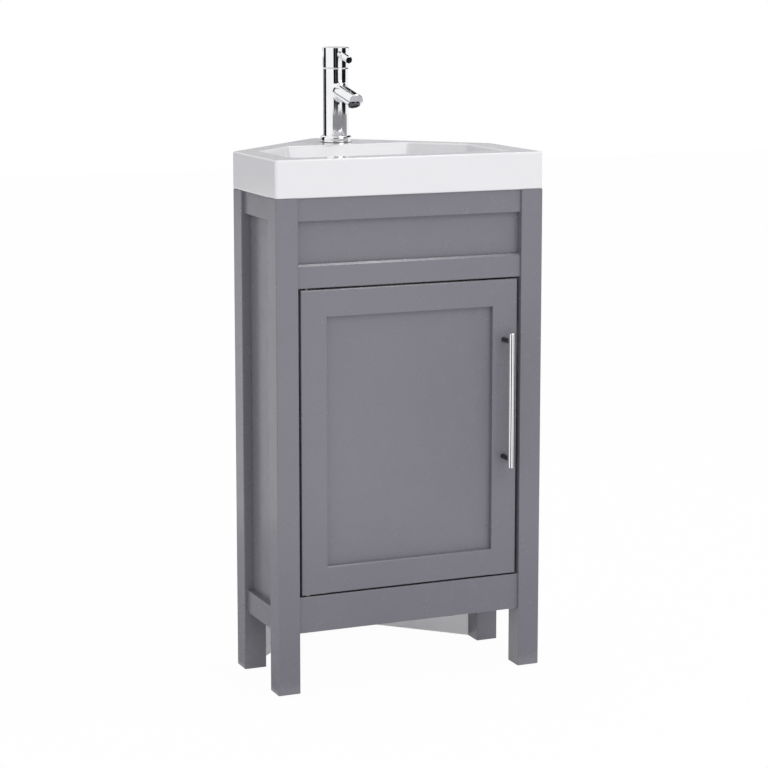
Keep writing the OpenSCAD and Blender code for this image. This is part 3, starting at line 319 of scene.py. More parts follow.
# %% Helpers for finishes
def finish(name, colour, roughness, metallic=0.0):
    """A new material with that plain colour and gloss: (material, its tree, its shader)."""
    made = bpy.data.materials.new(name)
    made.use_nodes = True
    tree = made.node_tree
    shader = tree.nodes["Principled BSDF"]
    shader.inputs["Base Color"].default_value = (*colour, 1)
    shader.inputs["Roughness"].default_value = roughness
    shader.inputs["Metallic"].default_value = metallic
    made.diffuse_color = (*colour, 1)
    return made, tree, shader


def noise(tree, scale, stretch=(1, 1, 1), detail=2.0, distortion=0.0):
    """Noise of that scale per metre on the piece's own coordinates, drawn out along an axis by a small stretch."""
    where = node(tree, "ShaderNodeTexCoord")
    turn = node(tree, "ShaderNodeMapping")
    turn.inputs["Scale"].default_value = stretch
    made = node(tree, "ShaderNodeTexNoise")
    made.inputs["Scale"].default_value = scale
    made.inputs["Detail"].default_value = detail
    made.inputs["Distortion"].default_value = distortion
    tree.links.new(where.outputs["Object"], turn.inputs["Vector"])
    tree.links.new(turn.outputs["Vector"], made.inputs["Vector"])
    return made.outputs["Fac"]


def ramp(tree, factor, stops):
    """A colour ramp through (position, colour) stops."""
    made = node(tree, "ShaderNodeValToRGB")
    elements = made.color_ramp.elements
    while len(elements) < len(stops):
        elements.new(0.5)
    for element, (position, colour) in zip(elements, stops):
        element.position = position
        element.color = (*colour, 1)
    tree.links.new(factor, made.inputs["Fac"])
    return made.outputs["Color"]


def spread(tree, factor, low, high):
    """The factor, from 0.3 to 0.7, turned into a number from low to high."""
    made = node(tree, "ShaderNodeMapRange")
    made.inputs["From Min"].default_value = 0.3
    made.inputs["From Max"].default_value = 0.7
    made.inputs["To Min"].default_value = low
    made.inputs["To Max"].default_value = high
    tree.links.new(factor, made.inputs["Value"])
    return made.outputs["Result"]


def bump(tree, height, depth, under=None):
    """A bump of that depth in metres from a height of 0 to 1, on top of another bump."""
    made = node(tree, "ShaderNodeBump")
    made.inputs["Strength"].default_value = 1.0
    made.inputs["Distance"].default_value = depth
    tree.links.new(height, made.inputs["Height"])
    if under is not None:
        tree.links.new(under, made.inputs["Normal"])
    return made.outputs["Normal"]


def shade(colour, by):
    """The colour made lighter or darker by a factor."""
    return tuple(min(1.0, c * by) for c in colour)


# %% [markdown]
# ### Satin paint
# The frame and the door are sprayed with a satin mid grey that leans to blue. Sprayed paint on wood shows three
# things up close: a fine orange peel, a trace of the grain under it, and a gloss that wanders a little. The grain
# runs along each piece, so there is one finish for uprights, one for rails and one for pieces that run front to
# back. The panels are board, which has no grain to show.

# %% Paint
PAINT_GREY = (0.185, 0.181, 0.206)
ORANGE_PEEL_PER_METRE = 620
GRAIN_DEPTH = 0.000015
ORANGE_PEEL_DEPTH = 0.000008


def satin_paint(name, along, tone=1.0):
    """Satin paint over wood whose grain runs along that axis, or over plain board."""
    grey = shade(PAINT_GREY, tone)
    made, tree, shader = finish(name, grey, 0.25)
    clouds = noise(tree, 5.5, detail=3)
    colour = ramp(tree, clouds, [(0.3, shade(grey, 0.975)), (0.7, shade(grey, 1.025))])
    tree.links.new(colour, shader.inputs["Base Color"])
    tree.links.new(spread(tree, noise(tree, 38, detail=3), 0.22, 0.29), shader.inputs["Roughness"])
    peel = bump(tree, noise(tree, ORANGE_PEEL_PER_METRE, detail=1), ORANGE_PEEL_DEPTH)
    if along is not None:
        stretch = tuple(0.03 if axis == along else 1.0 for axis in "xyz")
        grain = noise(tree, 260, stretch, detail=3, distortion=0.3)
        peel = bump(tree, grain, GRAIN_DEPTH, peel)
    tree.links.new(peel, shader.inputs["Normal"])
    return made


paint_upright = satin_paint("satin paint, grain upright", "z")
paint_across = satin_paint("satin paint, grain across", "x")
paint_back = satin_paint("satin paint, grain front to back", "y")
paint_board = satin_paint("satin paint on board", None)
print("paint", PAINT_GREY)

# %% [markdown]
# ### Board, timber and small fittings
# The back panels, the cabinet floor and the shelf are faced chipboard: a smooth pale face with a very fine print
# of the press, and a raw edge where the saw went through. The faces that point down or along the cut take the edge
# colour, which a surface can tell from its own normal. Battens and cleats stay bare softwood, with growth lines.

# %% Faced board
def faced_board(name, face, raw_axes):
    """A pale faced board whose faces along raw_axes show the pressed chips of the core."""
    made, tree, shader = finish(name, face, 0.42)
    geometry = node(tree, "ShaderNodeNewGeometry")
    parts = node(tree, "ShaderNodeSeparateXYZ")
    tree.links.new(geometry.outputs["True Normal"], parts.inputs[0])
    rawness = None
    for axis in raw_axes:
        steep = node(tree, "ShaderNodeMath", operation="ABSOLUTE")
        tree.links.new(parts.outputs[axis], steep.inputs[0])
        cut = node(tree, "ShaderNodeMath", operation="GREATER_THAN")
        cut.inputs[1].default_value = 0.9
        tree.links.new(steep.outputs[0], cut.inputs[0])
        if rawness is None:
            rawness = cut.outputs[0]
        else:
            both = node(tree, "ShaderNodeMath", operation="MAXIMUM")
            tree.links.new(rawness, both.inputs[0])
            tree.links.new(cut.outputs[0], both.inputs[1])
            rawness = both.outputs[0]
    sheet = ramp(tree, noise(tree, 9, detail=4), [(0.3, shade(face, 0.975)), (0.7, shade(face, 1.02))])
    chips = ramp(
        tree,
        noise(tree, 420, detail=4),
        [(0.32, (0.28, 0.21, 0.14)), (0.5, (0.47, 0.37, 0.26)), (0.68, (0.62, 0.52, 0.39))],
    )
    mixed = node(tree, "ShaderNodeMix", data_type="RGBA")
    tree.links.new(rawness, mixed.inputs["Factor"])
    tree.links.new(sheet, mixed.inputs["A"])
    tree.links.new(chips, mixed.inputs["B"])
    tree.links.new(mixed.outputs["Result"], shader.inputs["Base Color"])
    tree.links.new(spread(tree, noise(tree, 60), 0.38, 0.48), shader.inputs["Roughness"])
    tree.links.new(bump(tree, noise(tree, 900, detail=2), 0.00003), shader.inputs["Normal"])
    return made


BOARD_FACE = (0.88, 0.88, 0.90)
board_upright = faced_board("faced board, upright", BOARD_FACE, "Z")
board_flat = faced_board("faced board, flat", BOARD_FACE, "XY")


# %% Softwood
def softwood(name, along):
    """Bare softwood with growth lines that run along that axis."""
    made, tree, shader = finish(name, (0.58, 0.42, 0.25), 0.62)
    stretch = tuple(0.05 if axis == along else 1.0 for axis in "xyz")
    lines = noise(tree, 150, stretch, detail=4, distortion=0.6)
    colour = ramp(
        tree, lines, [(0.34, (0.44, 0.29, 0.15)), (0.48, (0.60, 0.44, 0.27)), (0.66, (0.68, 0.53, 0.35))]
    )
    tree.links.new(colour, shader.inputs["Base Color"])
    tree.links.new(spread(tree, lines, 0.55, 0.7), shader.inputs["Roughness"])
    fibres = noise(tree, 900, tuple(s * 0.4 for s in stretch), detail=2)
    tree.links.new(bump(tree, fibres, 0.00008, bump(tree, lines, 0.00012)), shader.inputs["Normal"])
    return made


softwood_upright = softwood("softwood, grain upright", "z")
softwood_across = softwood("softwood, grain across", "x")
softwood_back = softwood("softwood, grain front to back", "y")

# %% [markdown]
# ### Glaze, chrome and the plain metals
# Vitreous glaze is a clear glassy coat over a white body: very smooth, with long soft waves where it ran in the
# kiln, and no glaze under the foot where it stood. Chrome is a mirror with a cool tint and faint smears from wiping.
# Zinc is a dull crystal film, brass is turned and not polished, and moulded plastic has a fine grain.

# %% Glaze
GLAZE_WAVES = 0.00007


def vitreous_glaze():
    """White glaze with soft waves, over a body that stays bare and matt where the surface looks down."""
    white = (0.755, 0.75, 0.765)
    made, tree, shader = finish("vitreous white glaze", white, 0.1)
    tint = ramp(tree, noise(tree, 7, detail=2), [(0.3, shade(white, 0.985)), (0.7, shade(white, 1.01))])
    geometry = node(tree, "ShaderNodeNewGeometry")
    parts = node(tree, "ShaderNodeSeparateXYZ")
    tree.links.new(geometry.outputs["True Normal"], parts.inputs[0])
    under = node(tree, "ShaderNodeMath", operation="LESS_THAN")
    under.inputs[1].default_value = -0.95
    tree.links.new(parts.outputs["Z"], under.inputs[0])
    biscuit = ramp(tree, noise(tree, 700, detail=3), [(0.35, (0.60, 0.57, 0.52)), (0.65, (0.72, 0.70, 0.65))])
    mixed = node(tree, "ShaderNodeMix", data_type="RGBA")
    tree.links.new(under.outputs[0], mixed.inputs["Factor"])
    tree.links.new(tint, mixed.inputs["A"])
    tree.links.new(biscuit, mixed.inputs["B"])
    tree.links.new(mixed.outputs["Result"], shader.inputs["Base Color"])
    gloss = spread(tree, noise(tree, 30, detail=3), 0.1, 0.16)
    rough = node(tree, "ShaderNodeMix", data_type="FLOAT")
    rough.inputs["B"].default_value = 0.85
    tree.links.new(under.outputs[0], rough.inputs["Factor"])
    tree.links.new(gloss, rough.inputs["A"])
    tree.links.new(rough.outputs["Result"], shader.inputs["Roughness"])
    tree.links.new(bump(tree, noise(tree, 26, detail=1), GLAZE_WAVES), shader.inputs["Normal"])
    return made


glaze = vitreous_glaze()


# %% Metals, plastic and rubber
def metal(name, colour, low, high, mark_scale, marks):
    """A metal whose gloss wanders from low to high, with marks of that depth in metres."""
    made, tree, shader = finish(name, colour, (low + high) / 2, metallic=1.0)
    tint = ramp(tree, noise(tree, mark_scale / 4, detail=3), [(0.3, shade(colour, 0.95)), (0.7, shade(colour, 1.03))])
    tree.links.new(tint, shader.inputs["Base Color"])
    tree.links.new(spread(tree, noise(tree, mark_scale / 8, detail=4), low, high), shader.inputs["Roughness"])
    tree.links.new(bump(tree, noise(tree, mark_scale, detail=2), marks), shader.inputs["Normal"])
    return made


def moulded(name, colour, roughness, grain_scale, grain):
    """A moulded plastic or rubber with a fine grain of that depth in metres."""
    made, tree, shader = finish(name, colour, roughness)
    tint = ramp(tree, noise(tree, 40, detail=3), [(0.3, shade(colour, 0.94)), (0.7, shade(colour, 1.05))])
    tree.links.new(tint, shader.inputs["Base Color"])
    tree.links.new(spread(tree, noise(tree, 90), roughness - 0.05, roughness + 0.05), shader.inputs["Roughness"])
    tree.links.new(bump(tree, noise(tree, grain_scale, detail=2), grain), shader.inputs["Normal"])
    return made


chrome = metal("bright chrome", (0.91, 0.915, 0.93), 0.02, 0.06, 160, 0.000004)
# This near-black chrome is painted shade. On the handle's pillars it stands for shade and dark reflections. On the
# aerator it stands for the dark insert of a real aerator together with painted shade.
painted_shade_and_insert_chrome = metal("chrome painted dark for shade and insert", (0.10, 0.105, 0.12), 0.10, 0.16, 160, 0.000004)
zinc = metal("zinc plate", (0.56, 0.57, 0.60), 0.3, 0.46, 700, 0.00003)
brass = metal("turned brass", (0.70, 0.50, 0.22), 0.24, 0.38, 900, 0.00002)
dull_brass = metal("oiled brass", (0.20, 0.155, 0.09), 0.42, 0.55, 900, 0.00003)
white_plastic = moulded("white moulded plastic", (0.70, 0.70, 0.68), 0.45, 1500, 0.00002)
black_rubber = moulded("black rubber", (0.022, 0.022, 0.024), 0.6, 1300, 0.00004)
print(len(bpy.data.materials), "finishes")

# %% [markdown]
# ## Finishes on the CAD pieces
# Most pieces of the cabinet are right as the CAD model has them, with their rounded edges, so they only need their
# finish. The table says which finish goes on which piece; grain follows the long way of the piece.

# %% Which finish goes where
WEARS = {
    paint_upright: [
        "front_left_post", "front_right_post", "rear_left_post", "rear_right_post", "door_hinge_stile",
        "door_handle_stile",
    ],
    paint_across: ["front_top_rail", "front_mid_rail", "front_bottom_rail", "door_top_rail", "door_bottom_rail"],
    paint_back: ["left_top_rail", "left_bottom_rail", "right_top_rail", "right_bottom_rail"],
    paint_board: ["front_fixed_panel", "left_side_panel", "right_side_panel", "door_panel"],
    board_upright: ["left_back_panel", "right_back_panel", "back_corner_post"],
    board_flat: ["cabinet_floor", "inner_shelf"],
    softwood_upright: ["left_back_batten", "right_back_batten"],
    softwood_across: ["front_floor_cleat", "rail_dowels"],
    softwood_back: ["side_floor_cleats"],
    glaze: ["basin"],
    chrome: [
        "handle_bar", "waste_body", "waste_plug", "tap_base_ring", "tap_body", "tap_dome_ring", "tap_cap",
        "tap_lever",
    ],
    # painted shade: the pillars and the aerator wear near-black chrome for the shade on them; only the aerator's dark
    # insert is real
    painted_shade_and_insert_chrome: ["handle_pillars", "tap_aerator"],
    zinc: [
        "shelf_pins", "lower_pivot_pin", "upper_pivot_pin", "handle_screws", "catch_screws", "strike_plate",
        "cartridge_stem", "tilt_pin", "cap_grub_screw", "tap_stud", "tap_washer",
    ],
    brass: ["waste_backnut", "cartridge_core", "tap_nut"],
    dull_brass: ["pivot_bushes"],
    white_plastic: ["foot_glides", "magnetic_catch", "tap_cartridge"],
    black_rubber: ["waste_seal"],
}
finished = 0
for material, names in WEARS.items():
    for name in names:
        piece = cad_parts[name]
        piece.data.materials.clear()
        piece.data.materials.append(material)
        finished += 1
print(finished, "of", len(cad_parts), "CAD pieces have their finish")

# %% [markdown]
# ## The basin
# The real basin is slip-cast: one white shell with a bowl in the deck and an edge that hangs down in front of the
# cabinet's top. The CAD model makes it from coarse facets, so the glaze would show them. It could be smoothed with
# a subdivision surface, but that would round the flat deck too. Here it is lofted instead: outlines of the plan are
# drawn at each height, with their own corner radius, and joined ring by ring. Flat faces between rings of different
# shape are filled in one go. The inside of the bowl leans in by 8.5 degrees and meets its floor in a wide sweep.

# %% Outlines of a plan
ARC_STEPS = 14


def inset_corners(corners, inset):
    """The corners of a convex plan, drawn anticlockwise, moved inwards by inset."""
    moved = []
    count = len(corners)
    for i in range(count):
        before, here, after = (Vector(corners[(i + k) % count]) for k in (-1, 0, 1))
        first = (here - before).normalized()
        second = (after - here).normalized()
        first_in, second_in = Vector((-first.y, first.x)), Vector((-second.y, second.x))
        along = inset / (1 + first_in.dot(second_in))
        moved.append(here + (first_in + second_in) * along)
    return moved


def outline(corners, inset, radii, z):
    """Points round a plan at height z, in millimetres: moved inwards by inset, with a radius for each corner."""
    points = []
    moved = inset_corners(corners, inset)
    count = len(moved)
    for i in range(count):
        before, here, after = (moved[(i + k) % count] for k in (-1, 0, 1))
        back, ahead = (before - here).normalized(), (after - here).normalized()
        half_angle = back.angle(ahead) / 2
        middle = here + (back + ahead).normalized() * (radii[i] / math.sin(half_angle))
        turn = math.pi - 2 * half_angle
        start = math.atan2(-back.x, back.y) + math.pi
        for step in range(ARC_STEPS + 1):
            angle = start + turn * step / ARC_STEPS
            points.append(at(middle.x + radii[i] * math.cos(angle), middle.y + radii[i] * math.sin(angle), z))
    return points


def ring(x, y, radius, z, count):
    """Points round an upright circle, in millimetres."""
    turns = [2 * math.pi * i / count for i in range(count)]
    return [at(x + radius * math.cos(a), y + radius * math.sin(a), z) for a in turns]


EDGE_PLAN = [(-HALF_WIDTH, 0), (HALF_WIDTH, 0), (HALF_WIDTH, SIDE_DEPTH), (0, CORNER_DEPTH), (-HALF_WIDTH, SIDE_DEPTH)]
BOWL_PLAN = [(-186, 39), (186, 39), (186, 190.33), (111.33, 265), (-111.33, 265), (-186, 190.33)]
print("edge plan of", len(EDGE_PLAN), "corners, bowl plan of", len(BOWL_PLAN))

# %% Loft and fill
def add_ring(mesh, points):
    """The points as vertices of the mesh."""
    return [mesh.verts.new(p) for p in points]


def skin(mesh, rings):
    """Four-sided faces between each ring and the next."""
    for lower, upper in zip(rings, rings[1:]):
        count = len(lower)
        for i in range(count):
            j = (i + 1) % count
            mesh.faces.new((lower[i], lower[j], upper[j], upper[i]))


def fill_between(mesh, rings, up):
    """A flat face between an outer ring and the rings of its holes."""
    edges = []
    for points in rings:
        for i in range(len(points)):
            pair = (points[i], points[(i + 1) % len(points)])
            edges.append(mesh.edges.get(pair) or mesh.edges.new(pair))
    bmesh.ops.triangle_fill(mesh, use_beauty=True, use_dissolve=False, edges=edges, normal=(0, 0, up))


def piece_from(name, mesh, material, sharp_degrees=32):
    """The finished mesh as an object, smooth but for its sharp edges, with its faces outwards."""
    bmesh.ops.remove_doubles(mesh, verts=mesh.verts, dist=1e-7)
    bmesh.ops.recalc_face_normals(mesh, faces=mesh.faces)
    if mesh.calc_volume(signed=True) < 0:
        bmesh.ops.reverse_faces(mesh, faces=mesh.faces)
    data = bpy.data.meshes.new(name)
    mesh.to_mesh(data)
    mesh.free()
    data.materials.append(material)
    data.shade_smooth()
    data.set_sharp_from_angle(angle=math.radians(sharp_degrees))
    made = bpy.data.objects.new(name, data)
    bpy.context.collection.objects.link(made)
    return made


def flat_faces_lead(obj):
    """Large flat faces keep their own normal, and the roundings between them take the bend."""
    weigh = obj.modifiers.new("flat faces lead", "WEIGHTED_NORMAL")
    weigh.keep_sharp = True


# %% Sizes of the basin's casting
EDGE_RADIUS = 2.5
CORNER_RADII = (4, 4, 4, 10, 4)
EDGE_WALL = 12
HOLLOW_TOP = 838
LIP = 3.5
LIP_REACH = 0.5
BOWL_CORNER = 18
SWEEP_RADIUS = 30
SWEEP_MIDDLE = 40
SWEEP_Z = 785
SWEEP_START = 8.47
OUTER_SWEEP_START = 8.69
SWEEP_END = 86
BOWL_WALL = 9
BOWL_FLOOR = 755
WASTE_SEAT = 752.5
ROLL_STEPS = 6
SWEEP_STEPS = 12


def quarter(steps):
    """Sine and cosine of a quarter turn in equal steps."""
    return [(math.sin(math.pi / 2 * i / steps), math.cos(math.pi / 2 * i / steps)) for i in range(steps + 1)]


def edge_ring(mesh, inset, z):
    """One ring of the outside of the edge."""
    return add_ring(mesh, outline(EDGE_PLAN, inset, [r - inset for r in CORNER_RADII], z))


def bowl_ring(mesh, inset, radius, z):
    """One ring of the bowl, with that radius at each corner."""
    return add_ring(mesh, outline(BOWL_PLAN, inset, [radius] * 6, z))


def sweep_rings(mesh, radius, start):
    """Rings round the sweep at the foot of the bowl, from the angle where its wall ends to the floor."""
    rings = []
    for i in range(SWEEP_STEPS + 1):
        a = math.radians(start + (SWEEP_END - start) * i / SWEEP_STEPS)
        out = radius * math.cos(a)
        rings.append(bowl_ring(mesh, SWEEP_MIDDLE - out, out, SWEEP_Z - radius * math.sin(a)))
    return rings


print("bowl", BASIN_TOP - BOWL_FLOOR, "mm deep")


# %% Basin shell
def basin_shell():
    """The whole cast basin as one closed skin."""
    mesh = bmesh.new()
    # outside of the edge, from its foot up to the deck
    roll = [(EDGE_RADIUS * (1 - s), EDGE_RADIUS * (1 - c)) for s, c in quarter(ROLL_STEPS)]
    outside = [edge_ring(mesh, inward, CABINET_TOP + up) for inward, up in roll]
    outside += [edge_ring(mesh, up, BASIN_TOP - inward) for inward, up in roll]
    skin(mesh, outside)
    # bowl, from the rolled lip down the leaning wall and the sweep to its floor
    bowl = []
    for s, c in quarter(ROLL_STEPS):
        inset = LIP * (s - 1) + LIP_REACH * s
        bowl.append(bowl_ring(mesh, inset, BOWL_CORNER + LIP * (1 - s), BASIN_TOP - LIP * (1 - c)))
    bowl += sweep_rings(mesh, SWEEP_RADIUS, SWEEP_START)
    skin(mesh, bowl)
    # seat of the waste flange and its hole
    waste = [(32.5, BOWL_FLOOR + 0.07), (32, BOWL_FLOOR - 0.5), (32, WASTE_SEAT), (22.5, WASTE_SEAT), (22.5, 746)]
    waste_rings = [add_ring(mesh, ring(0, WASTE_Y, r, z, 64)) for r, z in waste]
    skin(mesh, waste_rings)
    fill_between(mesh, [bowl[-1], waste_rings[0]], 1)
    # tap hole through the deck
    tap = [(18.5, BASIN_TOP), (17.8, BASIN_TOP - 0.3), (17.5, BASIN_TOP - 1), (17.5, HOLLOW_TOP)]
    tap_rings = [add_ring(mesh, ring(0, TAP_Y, r, z, 48)) for r, z in tap]
    skin(mesh, tap_rings)
    fill_between(mesh, [outside[-1], bowl[0], tap_rings[0]], 1)
    # underside: foot of the edge, hollow behind it, and the outside of the bowl
    hollow = [add_ring(mesh, outline(EDGE_PLAN, EDGE_WALL, [3] * 5, z)) for z in (CABINET_TOP, HOLLOW_TOP)]
    skin(mesh, [outside[0], *hollow])
    shell = [bowl_ring(mesh, -7.55, 28, HOLLOW_TOP)]
    shell += sweep_rings(mesh, SWEEP_RADIUS + BOWL_WALL, OUTER_SWEEP_START)
    skin(mesh, shell)
    fill_between(mesh, [hollow[1], shell[0], tap_rings[-1]], -1)
    fill_between(mesh, [shell[-1], waste_rings[-1]], -1)
    return mesh


basin_mesh = basin_shell()
open_edges = sum(1 for edge in basin_mesh.edges if len(edge.link_faces) != 2)
basin = piece_from("cast_basin", basin_mesh, glaze)
flat_faces_lead(basin)
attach(basin, "carcass")
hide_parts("basin")
print("basin:", len(basin.data.polygons), "faces,", open_edges, "open edges")

# %% [markdown]
# ## The ledges
# On the real unit a bright line runs along the edges that face up: the ledge of the middle rail, the top of the door
# and the foot of its panel. They are planed off at 45 degrees, and the narrow flat catches the light from above. A
# Bevel modifier would take every edge of the piece, so a plane cuts a copy of the CAD mesh instead, and the cut is
# closed with one long face. The stiles get the same flat on their top ends, so that the line runs across the door.

# %% Planed edges
def planed_edge(part, size, material, body):
    """A copy of a CAD piece whose upper front edge is planed off at 45 degrees, by size in millimetres."""
    low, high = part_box(part)
    mesh = bmesh.new()
    mesh.from_mesh(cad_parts[part].data)
    mesh.transform(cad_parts[part].matrix_world)
    bmesh.ops.remove_doubles(mesh, verts=mesh.verts, dist=1e-7)
    everything = [*mesh.verts, *mesh.edges, *mesh.faces]
    on_cut = Vector((low.x, low.y, high.z - size * MM))
    cut = bmesh.ops.bisect_plane(mesh, geom=everything, plane_co=on_cut, plane_no=(0, -1, 1), clear_outer=True)
    rim = [item for item in cut["geom_cut"] if isinstance(item, bmesh.types.BMEdge)]
    bmesh.ops.holes_fill(mesh, edges=rim, sides=0)
    made = piece_from(part + "_planed", mesh, material, sharp_degrees=10)
    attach(made, body)
    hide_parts(part)
    return made


PLANED = [
    ("front_mid_rail", 3.2, paint_across, "carcass"),
    ("door_bottom_rail", 1.6, paint_across, "door"),
    ("door_top_rail", 1.5, paint_across, "door"),
    ("door_hinge_stile", 1.5, paint_upright, "door"),
    ("door_handle_stile", 1.5, paint_upright, "door"),
]
for part, size, material, body in PLANED:
    planed = planed_edge(part, size, material, body)
    check = bmesh.new()
    check.from_mesh(planed.data)
    print(planed.name, len(planed.data.polygons), "faces,", sum(not e.is_manifold for e in check.edges), "open edges")
    check.free()

# %% [markdown]
# ## The root of the spout
# On the real tap the spout doesn't meet the body in a sharp line. The casting flares there, and the polished flare
# draws curved lines of light round the root. A Bevel modifier needs a clean edge between two crossing tubes, which
# the CAD mesh doesn't have, so the flare is a small saddle-shaped ring of its own. For each line along the spout the
# script works out where it enters the body, steps out by the same distance along the spout and along the body, and
# draws a curve between the two points. The back of the ring lies inside the metal.

# %% Spout flare
BODY_RADIUS = 22
SPOUT_RADIUS = 12.5
SPOUT_HEIGHT = 90
SPOUT_FALL = math.radians(11)
FLARE = 5.5
FLARE_LINES = 96
FLARE_STEPS = 8
PROUD = 0.04


def round_the_body(point, along, distance):
    """The point moved over the body's surface by that distance, in a direction along the surface, and its normal."""
    angle = math.atan2(point.y, point.x)
    sideways = Vector((-math.sin(angle), math.cos(angle), 0)).dot(along)
    angle += distance * sideways / BODY_RADIUS
    normal = Vector((math.cos(angle), math.sin(angle), 0))
    return normal * BODY_RADIUS + Vector((0, 0, point.z + distance * along.z)), normal


def flare_section(turn):
    """The closed section of the flare at one line of the spout, from the tap's axis and the deck, in millimetres."""
    along = Vector((0, -math.cos(SPOUT_FALL), -math.sin(SPOUT_FALL)))
    up = Vector((0, -math.sin(SPOUT_FALL), math.cos(SPOUT_FALL)))
    out = Vector((1, 0, 0)) * math.cos(turn) + up * math.sin(turn)
    start = Vector((0, 0, SPOUT_HEIGHT)) + out * SPOUT_RADIUS
    root = start + along * ((-math.sqrt(BODY_RADIUS**2 - start.x**2) - start.y) / along.y)
    normal = Vector((root.x, root.y, 0)).normalized()
    away = (out - normal * out.dot(normal)).normalized()
    on_body, body_normal = round_the_body(root, away, FLARE)
    first, last = root + along * FLARE + out * PROUD, on_body + body_normal * PROUD
    section = []
    for step in range(FLARE_STEPS + 1):
        t = step / FLARE_STEPS
        section.append(first * (1 - t) ** 2 + root * (2 * t * (1 - t)) + last * t**2)
    return section + [last - body_normal, root - out - normal, first - out]


sections = [flare_section(2 * math.pi * i / FLARE_LINES) for i in range(FLARE_LINES)]
flare_mesh = bmesh.new()
flare_rings = [
    add_ring(flare_mesh, [at(p.x, TAP_Y + p.y, BASIN_TOP + p.z) for p in line]) for line in zip(*sections)
]
skin(flare_mesh, flare_rings + flare_rings[:1])
spout_flare = piece_from("spout_flare", flare_mesh, chrome)
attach(spout_flare, "carcass")
print("spout flare:", len(spout_flare.data.polygons), "faces")

# %% [markdown]
# ## The gasket of the tap
# A tap stands on a thin rubber ring that keeps water out of the tap hole. Only its edge shows, as a fine dark line in
# the small bevel at the foot of the base ring. It is turned like a bead: a small rounded section, carried round.

# %% Gasket
GASKET_RADIUS = 26.05
GASKET_FOOT = BASIN_TOP + 0.02
BEAD = 0.38
BEAD_STEPS = 10
gasket_mesh = bmesh.new()
gasket_rings = []
for i in range(BEAD_STEPS):
    a = 2 * math.pi * i / BEAD_STEPS
    bead = ring(0, TAP_Y, GASKET_RADIUS + BEAD * math.cos(a), GASKET_FOOT + BEAD * (1 + math.sin(a)), 72)
    gasket_rings.append(add_ring(gasket_mesh, bead))
skin(gasket_mesh, gasket_rings + gasket_rings[:1])
gasket = piece_from("tap_gasket", gasket_mesh, black_rubber, sharp_degrees=60)
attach(gasket, "carcass")
print("gasket:", len(gasket.data.polygons), "faces")

# %% [markdown]
# ## What repeats: threads and screws
# Threads and rows of screws follow a rule, so Geometry Nodes make them. Each tree is written here and is run by an
# object that holds only its starting mesh. The result is then taken as a plain mesh and the modifier goes, because
# the frame wants finished pieces.

# %% Helpers for node trees
def start_tree(name, sizes):
    """A geometry tree with these named inputs: (the tree, its input node, its output node)."""
    tree = bpy.data.node_groups.new(name, "GeometryNodeTree")
    tree.interface.new_socket("Geometry", in_out="INPUT", socket_type="NodeSocketGeometry")
    tree.interface.new_socket("Geometry", in_out="OUTPUT", socket_type="NodeSocketGeometry")
    for title, kind in sizes:
        tree.interface.new_socket(title, in_out="INPUT", socket_type="NodeSocket" + kind)
    return tree, node(tree, "NodeGroupInput"), node(tree, "NodeGroupOutput")


def end_tree(tree, geometry, material, output):
    """Real geometry instead of instances, in that material, at the end of the tree."""
    realize = node(tree, "GeometryNodeRealizeInstances")
    paint = node(tree, "GeometryNodeSetMaterial")
    paint.inputs["Material"].default_value = material
    tree.links.new(geometry, realize.inputs[0])
    tree.links.new(realize.outputs[0], paint.inputs["Geometry"])
    tree.links.new(paint.outputs[0], output.inputs[0])


def run_tree(name, start, tree, values, material):
    """A plain mesh object of what the tree makes from the starting mesh with those values for its inputs."""
    maker = bpy.data.objects.new(name + " maker", start)
    bpy.context.collection.objects.link(maker)
    modifier = maker.modifiers.new("nodes", "NODES")
    modifier.node_group = tree
    names = {item.name: item.identifier for item in tree.interface.items_tree if item.in_out == "INPUT"}
    for title, value in values.items():
        modifier[names[title]] = value
    depsgraph = bpy.context.evaluated_depsgraph_get()
    data = bpy.data.meshes.new_from_object(maker.evaluated_get(depsgraph))
    bpy.data.objects.remove(maker)
    data.name = name
    if not data.materials:
        data.materials.append(material)
    made = bpy.data.objects.new(name, data)
    bpy.context.collection.objects.link(made)
    return made


# %% [markdown]
# ### Threads
# The tail of the waste has a 1 1/4 inch pipe thread for the trap's nut, and the stud of the tap has a metric one. The
# CAD model has both as plain rods. The crest of a thread is a helix, so a Spiral curve gives the path and a small
# three-sided curve is swept along it. It stands at most 0.3 mm proud of the rod.

# %% Thread crests
def thread_tree(name, material):
    """A helix with a three-sided section, round an upright rod whose lower end is at Foot."""
    sizes = [("Radius", "Float"), ("Turns", "Float"), ("Height", "Float"), ("Crest", "Float"), ("Foot", "Vector")]
    tree, given, result = start_tree(name, sizes)
    helix = node(tree, "GeometryNodeCurveSpiral")
    helix.inputs["Resolution"].default_value = 36
    feeds = [("Turns", "Rotations"), ("Radius", "Start Radius"), ("Radius", "End Radius"), ("Height", "Height")]
    for title, socket in feeds:
        tree.links.new(given.outputs[title], helix.inputs[socket])
    section = node(tree, "GeometryNodeCurvePrimitiveCircle")
    section.inputs["Resolution"].default_value = 3
    tree.links.new(given.outputs["Crest"], section.inputs["Radius"])
    sweep = node(tree, "GeometryNodeCurveToMesh")
    sweep.inputs["Fill Caps"].default_value = True
    tree.links.new(helix.outputs[0], sweep.inputs["Curve"])
    tree.links.new(section.outputs[0], sweep.inputs["Profile Curve"])
    place = node(tree, "GeometryNodeTransform")
    tree.links.new(sweep.outputs[0], place.inputs["Geometry"])
    tree.links.new(given.outputs["Foot"], place.inputs["Translation"])
    end_tree(tree, place.outputs[0], material, result)
    return tree


